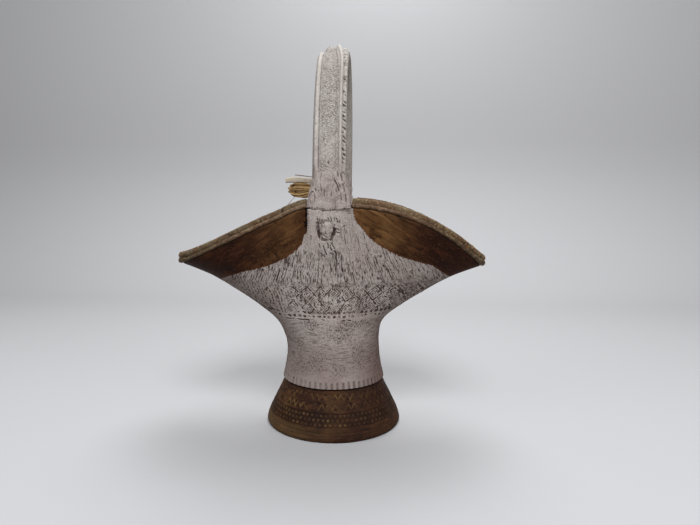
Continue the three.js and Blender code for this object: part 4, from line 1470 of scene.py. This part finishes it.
def rootMaterial():
    material, shader, position = newMaterial("slip_on_root", 0.22)
    bark = useGroup(barkMarks, {"Position": position})
    pocket = attribute(shader, "pocket")
    cut = attribute(shader, "cut")
    rough = grain(position, 420.0, 3.0, 0.6)
    cut = cut * fade(rough, 0.36, 0.52, 0.45, 1.0)
    # Painted shade in the hollow pocket round the knot, broken up by noise, and in the hollows of the bark
    # relief
    pocketShade = fade(pocket, 0.2, 0.8) * fade(rough, 0.4, 0.6, 0.1, 0.75)
    marks = largest(bark["Marks"] * 0.95, cut)
    shade = largest(pocketShade, fade(bark["Relief"], 0.45, 0.7, 0, 0.35))
    slip = useGroup(slipLook, {"Position": position, "Marks": marks, "Shade": shade})
    height = slip["Height"] + bark["Relief"] * 0.9
    finishMaterial(shader, slip["Color"], slip["Roughness"], height, 0.0006)
    return material


def knotMaterial():
    material, shader, position = newMaterial("slip_on_knot", 0.22)
    marks = fade(grain(position, 420.0, 3.0, 0.65), 0.56, 0.68, 0, 0.8)
    slip = useGroup(slipLook, {"Position": position, "Marks": marks, "Shade": 0.15})
    finishMaterial(shader, slip["Color"], slip["Roughness"], slip["Height"], 0.0006)
    return material


def strapMaterial():
    material, shader, position = newMaterial("slip_on_strap", 0.22)
    across = attribute(shader, "across")
    length = attribute(shader, "length")
    rough = grain(position, 620.0, 3.0, 0.65)
    broken = grain(position, 130.0, 3.0, 0.6)
    # Painted shade along the grooves between the rolls
    grooveShade = fade(attribute(shader, "groove"), 0.35, 1.0) * fade(rough, 0.38, 0.6, 0.25, 0.9)
    onBand = attribute(shader, "band")
    weave = vectorOf(across * 8.0, length * 0.8, 0.0)
    net = fade(cells(weave, 1.0, 0.75), 0.4, 0.66)
    fleck = grain(vectorOf(across * 9.0, length * 1.5, 5.0), 1.0, 2.0, 0.6)
    net = largest(net * 0.45, fade(fleck, 0.57, 0.66))
    z = split(position)["Z"]
    high = fade(z, 0.235, 0.262, 0.0, 0.12)
    net = net * fade(broken + high, 0.42, 0.64, 0.35, 0.85)
    net = net * onBand
    specks = fade(cells(position, 430.0), 0.2, 0.12)
    specks = specks * fade(broken, 0.5, 0.62, 0.0, 0.8)
    notch = attribute(shader, "notch") * 0.95
    marks = largest(grooveShade * 0.7, largest(net, specks))
    cut = attribute(shader, "cut") * fade(rough, 0.36, 0.54, 0.25, 0.95)
    marks = largest(marks, largest(notch, cut))
    # Painted shade: darker along the strap's edges, most on its left slope, and on the plain lower legs
    side = largest(fade(abs(across), 0.9, 0.99, 0, 0.45), fade(across, -0.76, -0.88, 0, 0.7))
    side = side * fade(rough, 0.35, 0.6, 0.4, 1.0)
    plain = attribute(shader, "plain")
    lower = plain * fade(broken, 0.4, 0.62, 0.15, 0.5)
    strokes = grain(scaled(position, (720.0, 720.0, 130.0)), 1.0, 2.0, 0.55)
    strokes = fade(strokes, 0.6, 0.69, 0.0, 0.75) * plain
    marks = largest(marks, strokes)
    shade = largest(onBand * 0.05, largest(side, lower))
    slip = useGroup(slipLook, {"Position": position, "Marks": marks, "Shade": shade})
    # Painted light: the slip is painted paler towards the strap's top, where there are few marks
    topLight = fade(z, 0.2, 0.25, 0.0, 0.25) * fade(marks, 0.1, 0.5, 1.0, 0.0)
    color = mixColor(topLight, slip["Color"], colour(196, 200, 192))
    finishMaterial(shader, color, slip["Roughness"], slip["Height"], 0.0006)
    return material


def footMaterial():
    material, shader, position = newMaterial("brown_foot", 0.1)
    stamp = attribute(shader, "stamp")
    parts = split(position)
    broad = grain(position, 26.0, 3.0, 0.6)
    # Painted light: the foot is painted warmer and lighter towards the left
    left = fade(parts["X"], 0.05, -0.05, -0.05, 0.3)
    warmthAndLight = left + fade(broad, 0.4, 0.65, -0.15, 0.2)
    low = fade(parts["Z"], 0.012, 0.004, 0.0, 0.12)
    # Painted shade in the stamped hollows
    stampHollowShade = fade(stamp, 0.3, 0.8) * 0.55
    turn = turnOf(parts)
    streaks = vectorOf(turn * 5.0, parts["Z"] * 330.0, 2.0)
    brown = useGroup(brownLook,
                     {"Position": position, "Streaks": streaks, "WarmthAndLight": warmthAndLight + low, "Marks": stampHollowShade})
    # Raised stamp ridges painted lighter: rubbed glaze together with a painted highlight, stronger towards
    # the left
    rubbedRidgeAndHighlight = attribute(shader, "raised") * fade(grain(position, 210.0, 3.0), 0.42, 0.64, 0.1, 0.75)
    # Painted shade: the foot is darkened towards the right
    color = mixColor(fade(parts["X"], -0.05, 0.05, 0.22, 0.46), brown["Color"], colour(30, 16, 10))
    rubbedRidgeAndHighlight = rubbedRidgeAndHighlight * fade(parts["X"], 0.04, -0.01, 0.45, 1.0)
    color = mixColor(rubbedRidgeAndHighlight, color, colour(112, 88, 54))
    # Painted highlight: a lighter olive band along the base roll on the left
    rollHighlight = fade(parts["Z"], 0.0125, 0.0095) * fade(parts["X"], 0.02, -0.05, 0.0, 0.4)
    color = mixColor(rollHighlight, color, colour(104, 84, 54))
    finishMaterial(shader, color, brown["Roughness"], brown["Height"], 0.0004)
    return material


def rimMaterial():
    material, shader, position = newMaterial("stamped_rim", 0.22)
    press = attribute(shader, "press")
    broad = grain(position, 60.0, 3.0, 0.6)
    fine = grain(position, 560.0, 3.0, 0.65)
    base = mixColor(fade(broad, 0.38, 0.62), colour(90, 67, 47), colour(106, 92, 70))
    base = mixColor(fade(press, 0.15, 0.55, 0, 0.85), base, colour(46, 32, 22))
    x = split(position)["X"]
    golden = fade(x, -0.02, 0.02)
    speck = mixColor(golden, colour(138, 124, 100), colour(160, 138, 98))
    base = mixColor(fade(fine, 0.53, 0.68, 0, 0.75), base, speck)
    flecks = fade(cells(position, 240.0), 0.3, 0.15)
    tips = fade(abs(x), 0.06, 0.12)
    base = mixColor(flecks * tips, base, colour(134, 86, 48))
    height = fine * 0.8 - fade(press, 0.1, 0.6)
    finishMaterial(shader, base, 0.75, height, 0.0006)
    return material


def beadMaterial():
    material, shader, position = newMaterial("worn_bead", 0.22)
    broad = grain(position, 90.0, 3.0, 0.6)
    fine = grain(position, 420.0, 3.0, 0.65)
    base = mixColor(fade(broad, 0.4, 0.62), colour(96, 72, 52), colour(74, 52, 36))
    x = split(position)["X"]
    worn = fade(x, 0.0, -0.01) * fade(broad, 0.42, 0.56)
    base = mixColor(worn * 0.5, base, colour(132, 112, 90))
    base = mixColor(fade(fine, 0.52, 0.68, 0, 0.75), base, colour(148, 126, 102))
    base = mixColor(fade(fine, 0.44, 0.3, 0, 0.8), base, colour(42, 27, 20))
    ends = fade(abs(x), 0.06, 0.12, 0.0, 0.95)
    tipColor = mixColor(fade(fine, 0.48, 0.64), colour(70, 54, 38), colour(122, 106, 78))
    base = mixColor(ends, base, tipColor)
    finishMaterial(shader, base, 0.7, fine, 0.0005)
    return material


# Painted shadow in the hollows of the hank's folds, at these places in x and z
raffiaFoldShadows = [(-0.0395, 0.2052), (-0.0365, 0.2)]


def raffiaMaterial(name, low, high, dark):
    material, shader, position = newMaterial(name, 0.25)
    lie = Signal(addNode(shader.id_data, "UVMap", uv_map="lie").outputs[0])
    fibres = grain(scaled(lie, (26, 1.5, 1)), 1.0, 3.0, 0.6)
    stain = grain(position, 210.0, 3.0, 0.6)
    tone = attribute(shader, "tone")
    parts = split(position)
    base = mixColor(tone, low, high)
    base = mixColor(fade(parts["X"], -0.008, 0.004, 0, 0.85), base, colour(176, 166, 158))
    base = mixColor(fade(fibres, 0.5, 0.7, 0, 0.6), base, dark)
    base = mixColor(fade(stain, 0.5, 0.7, 0, 0.4), base, dark)
    # Dark spots of painted shadow round each of those places
    for eyeX, eyeZ in raffiaFoldShadows:
        away = hypot(parts["X"] - eyeX, parts["Z"] - eyeZ)
        base = mixColor(fade(away, 0.0016, 0.0006, 0, 0.9), base, colour(62, 36, 18))
    finishMaterial(shader, base, 0.72, fibres, 0.00015)
    return material


wallLook = wallMaterial()
rootLook = rootMaterial()
knotLook = knotMaterial()
strapLook = strapMaterial()
footLook = footMaterial()
rimLook = rimMaterial()
beadLook = beadMaterial()
goldRaffia = raffiaMaterial("gold_raffia", colour(140, 108, 68), colour(190, 158, 110), colour(80, 52, 30))
paleRaffia = raffiaMaterial("pale_raffia", colour(172, 160, 144), colour(190, 180, 164),
                            colour(124, 104, 82))
darkRaffia = raffiaMaterial("dark_raffia", colour(96, 74, 52), colour(120, 94, 66), colour(60, 44, 32))

dress(bodyPiece, wallLook, "body")
dress(footPiece, footLook, "foot")
dress(strapPiece, strapLook, "handle_strap")
for sideName in ("front", "back"):
    dress(rootPieces[sideName], rootLook, "handle_root_" + sideName)
    dress(knotPieces[sideName], knotLook, "root_knot_" + sideName)
for sideName in ("left", "right"):
    dress(stripPieces[sideName], rimLook, "rim_strip_" + sideName)
    dress(beadPieces[sideName], beadLook, "rim_bead_" + sideName)
dress(hank, goldRaffia, "raffia_bow")
dress(ribbon, paleRaffia, "raffia_ribbon")
dress(thread, darkRaffia, "raffia_thread")
dress(raffiaKnot, goldRaffia, "raffia_knot")
dress(wrap, goldRaffia, "raffia_wrap")
print("materials done")


# Stage: pale floor that curves up into the backdrop, and soft lamps
stage = {
    "width": 6.4,
    "front": 0.9,
    "behind": 0.55,
    "curve": 0.3,
    "height": 1.6,
    "rows": 60,
}


def stagePlace(across, share):
    flat = stage["front"] + stage["behind"]
    arc = stage["curve"] * math.pi / 2
    at = share * (flat + arc + stage["height"])
    x = across * stage["width"]
    if at < flat:
        return (x, at - stage["front"], 0)
    angle = min((at - flat) / stage["curve"], math.pi / 2)
    climb = max(at - flat - arc, 0)
    return (x, stage["behind"] + stage["curve"] * math.sin(angle),
            stage["curve"] * (1 - math.cos(angle)) + climb)


def makeStage():
    grown = bmesh.new()
    bmesh.ops.create_grid(grown, x_segments=2, y_segments=stage["rows"], size=0.5)
    for vert in grown.verts:
        vert.co = stagePlace(vert.co.x, vert.co.y + 0.5)
    for face in grown.faces:
        face.smooth = True
    mesh = bpy.data.meshes.new("floor")
    grown.to_mesh(mesh)
    grown.free()
    piece = bpy.data.objects.new("floor", mesh)
    bpy.context.collection.objects.link(piece)
    material, shader, _ = newMaterial("pale_floor", 0.2)
    rays = outputsOf(addNode(shader.id_data, "LightPath"))
    seen = largest(rays["Is Camera Ray"], rays["Is Glossy Ray"], rays["Is Transmission Ray"])
    put(mixColor(seen, colour(112, 106, 102), colour(186, 187, 190)), shader.inputs["Base Color"])
    shader.inputs["Roughness"].default_value = 0.8
    mesh.materials.append(material)


# Round soft lamp at a place, turned to what it aims at, with its width in metres and power in watts
def lamp(name, place, aim, size, power):
    data = bpy.data.lights.new(name, "AREA")
    data.shape = "DISK"
    data.size = size
    data.energy = power
    piece = bpy.data.objects.new(name, data)
    piece.location = place
    piece.rotation_euler = (Vector(aim) - Vector(place)).to_track_quat("-Z", "Y").to_euler()
    bpy.context.collection.objects.link(piece)


makeStage()
lamp("key", (0.12, -1.0, 1.3), (0, 0, 0.2), 0.8, 20.0)
lamp("left", (-1.1, -0.6, 0.5), (0, 0, 0.15), 0.7, 3.1)
lamp("right", (1.1, -0.7, 0.3), (0, 0, 0.15), 0.7, 4.2)
lamp("top", (0.1, 0.45, 1.6), (0, 0, 0.2), 0.8, 9.0)
lamp("back", (0.05, 0.55, 1.0), (0, 0, 0.15), 0.6, 4.5)
worldStrength = 0.16
world = bpy.data.worlds.new("studio")
world.use_nodes = True
background = world.node_tree.nodes["Background"].inputs
background["Color"].default_value = (1, 1, 1, 1)
background["Strength"].default_value = worldStrength
scene.world = world
print("stage done")
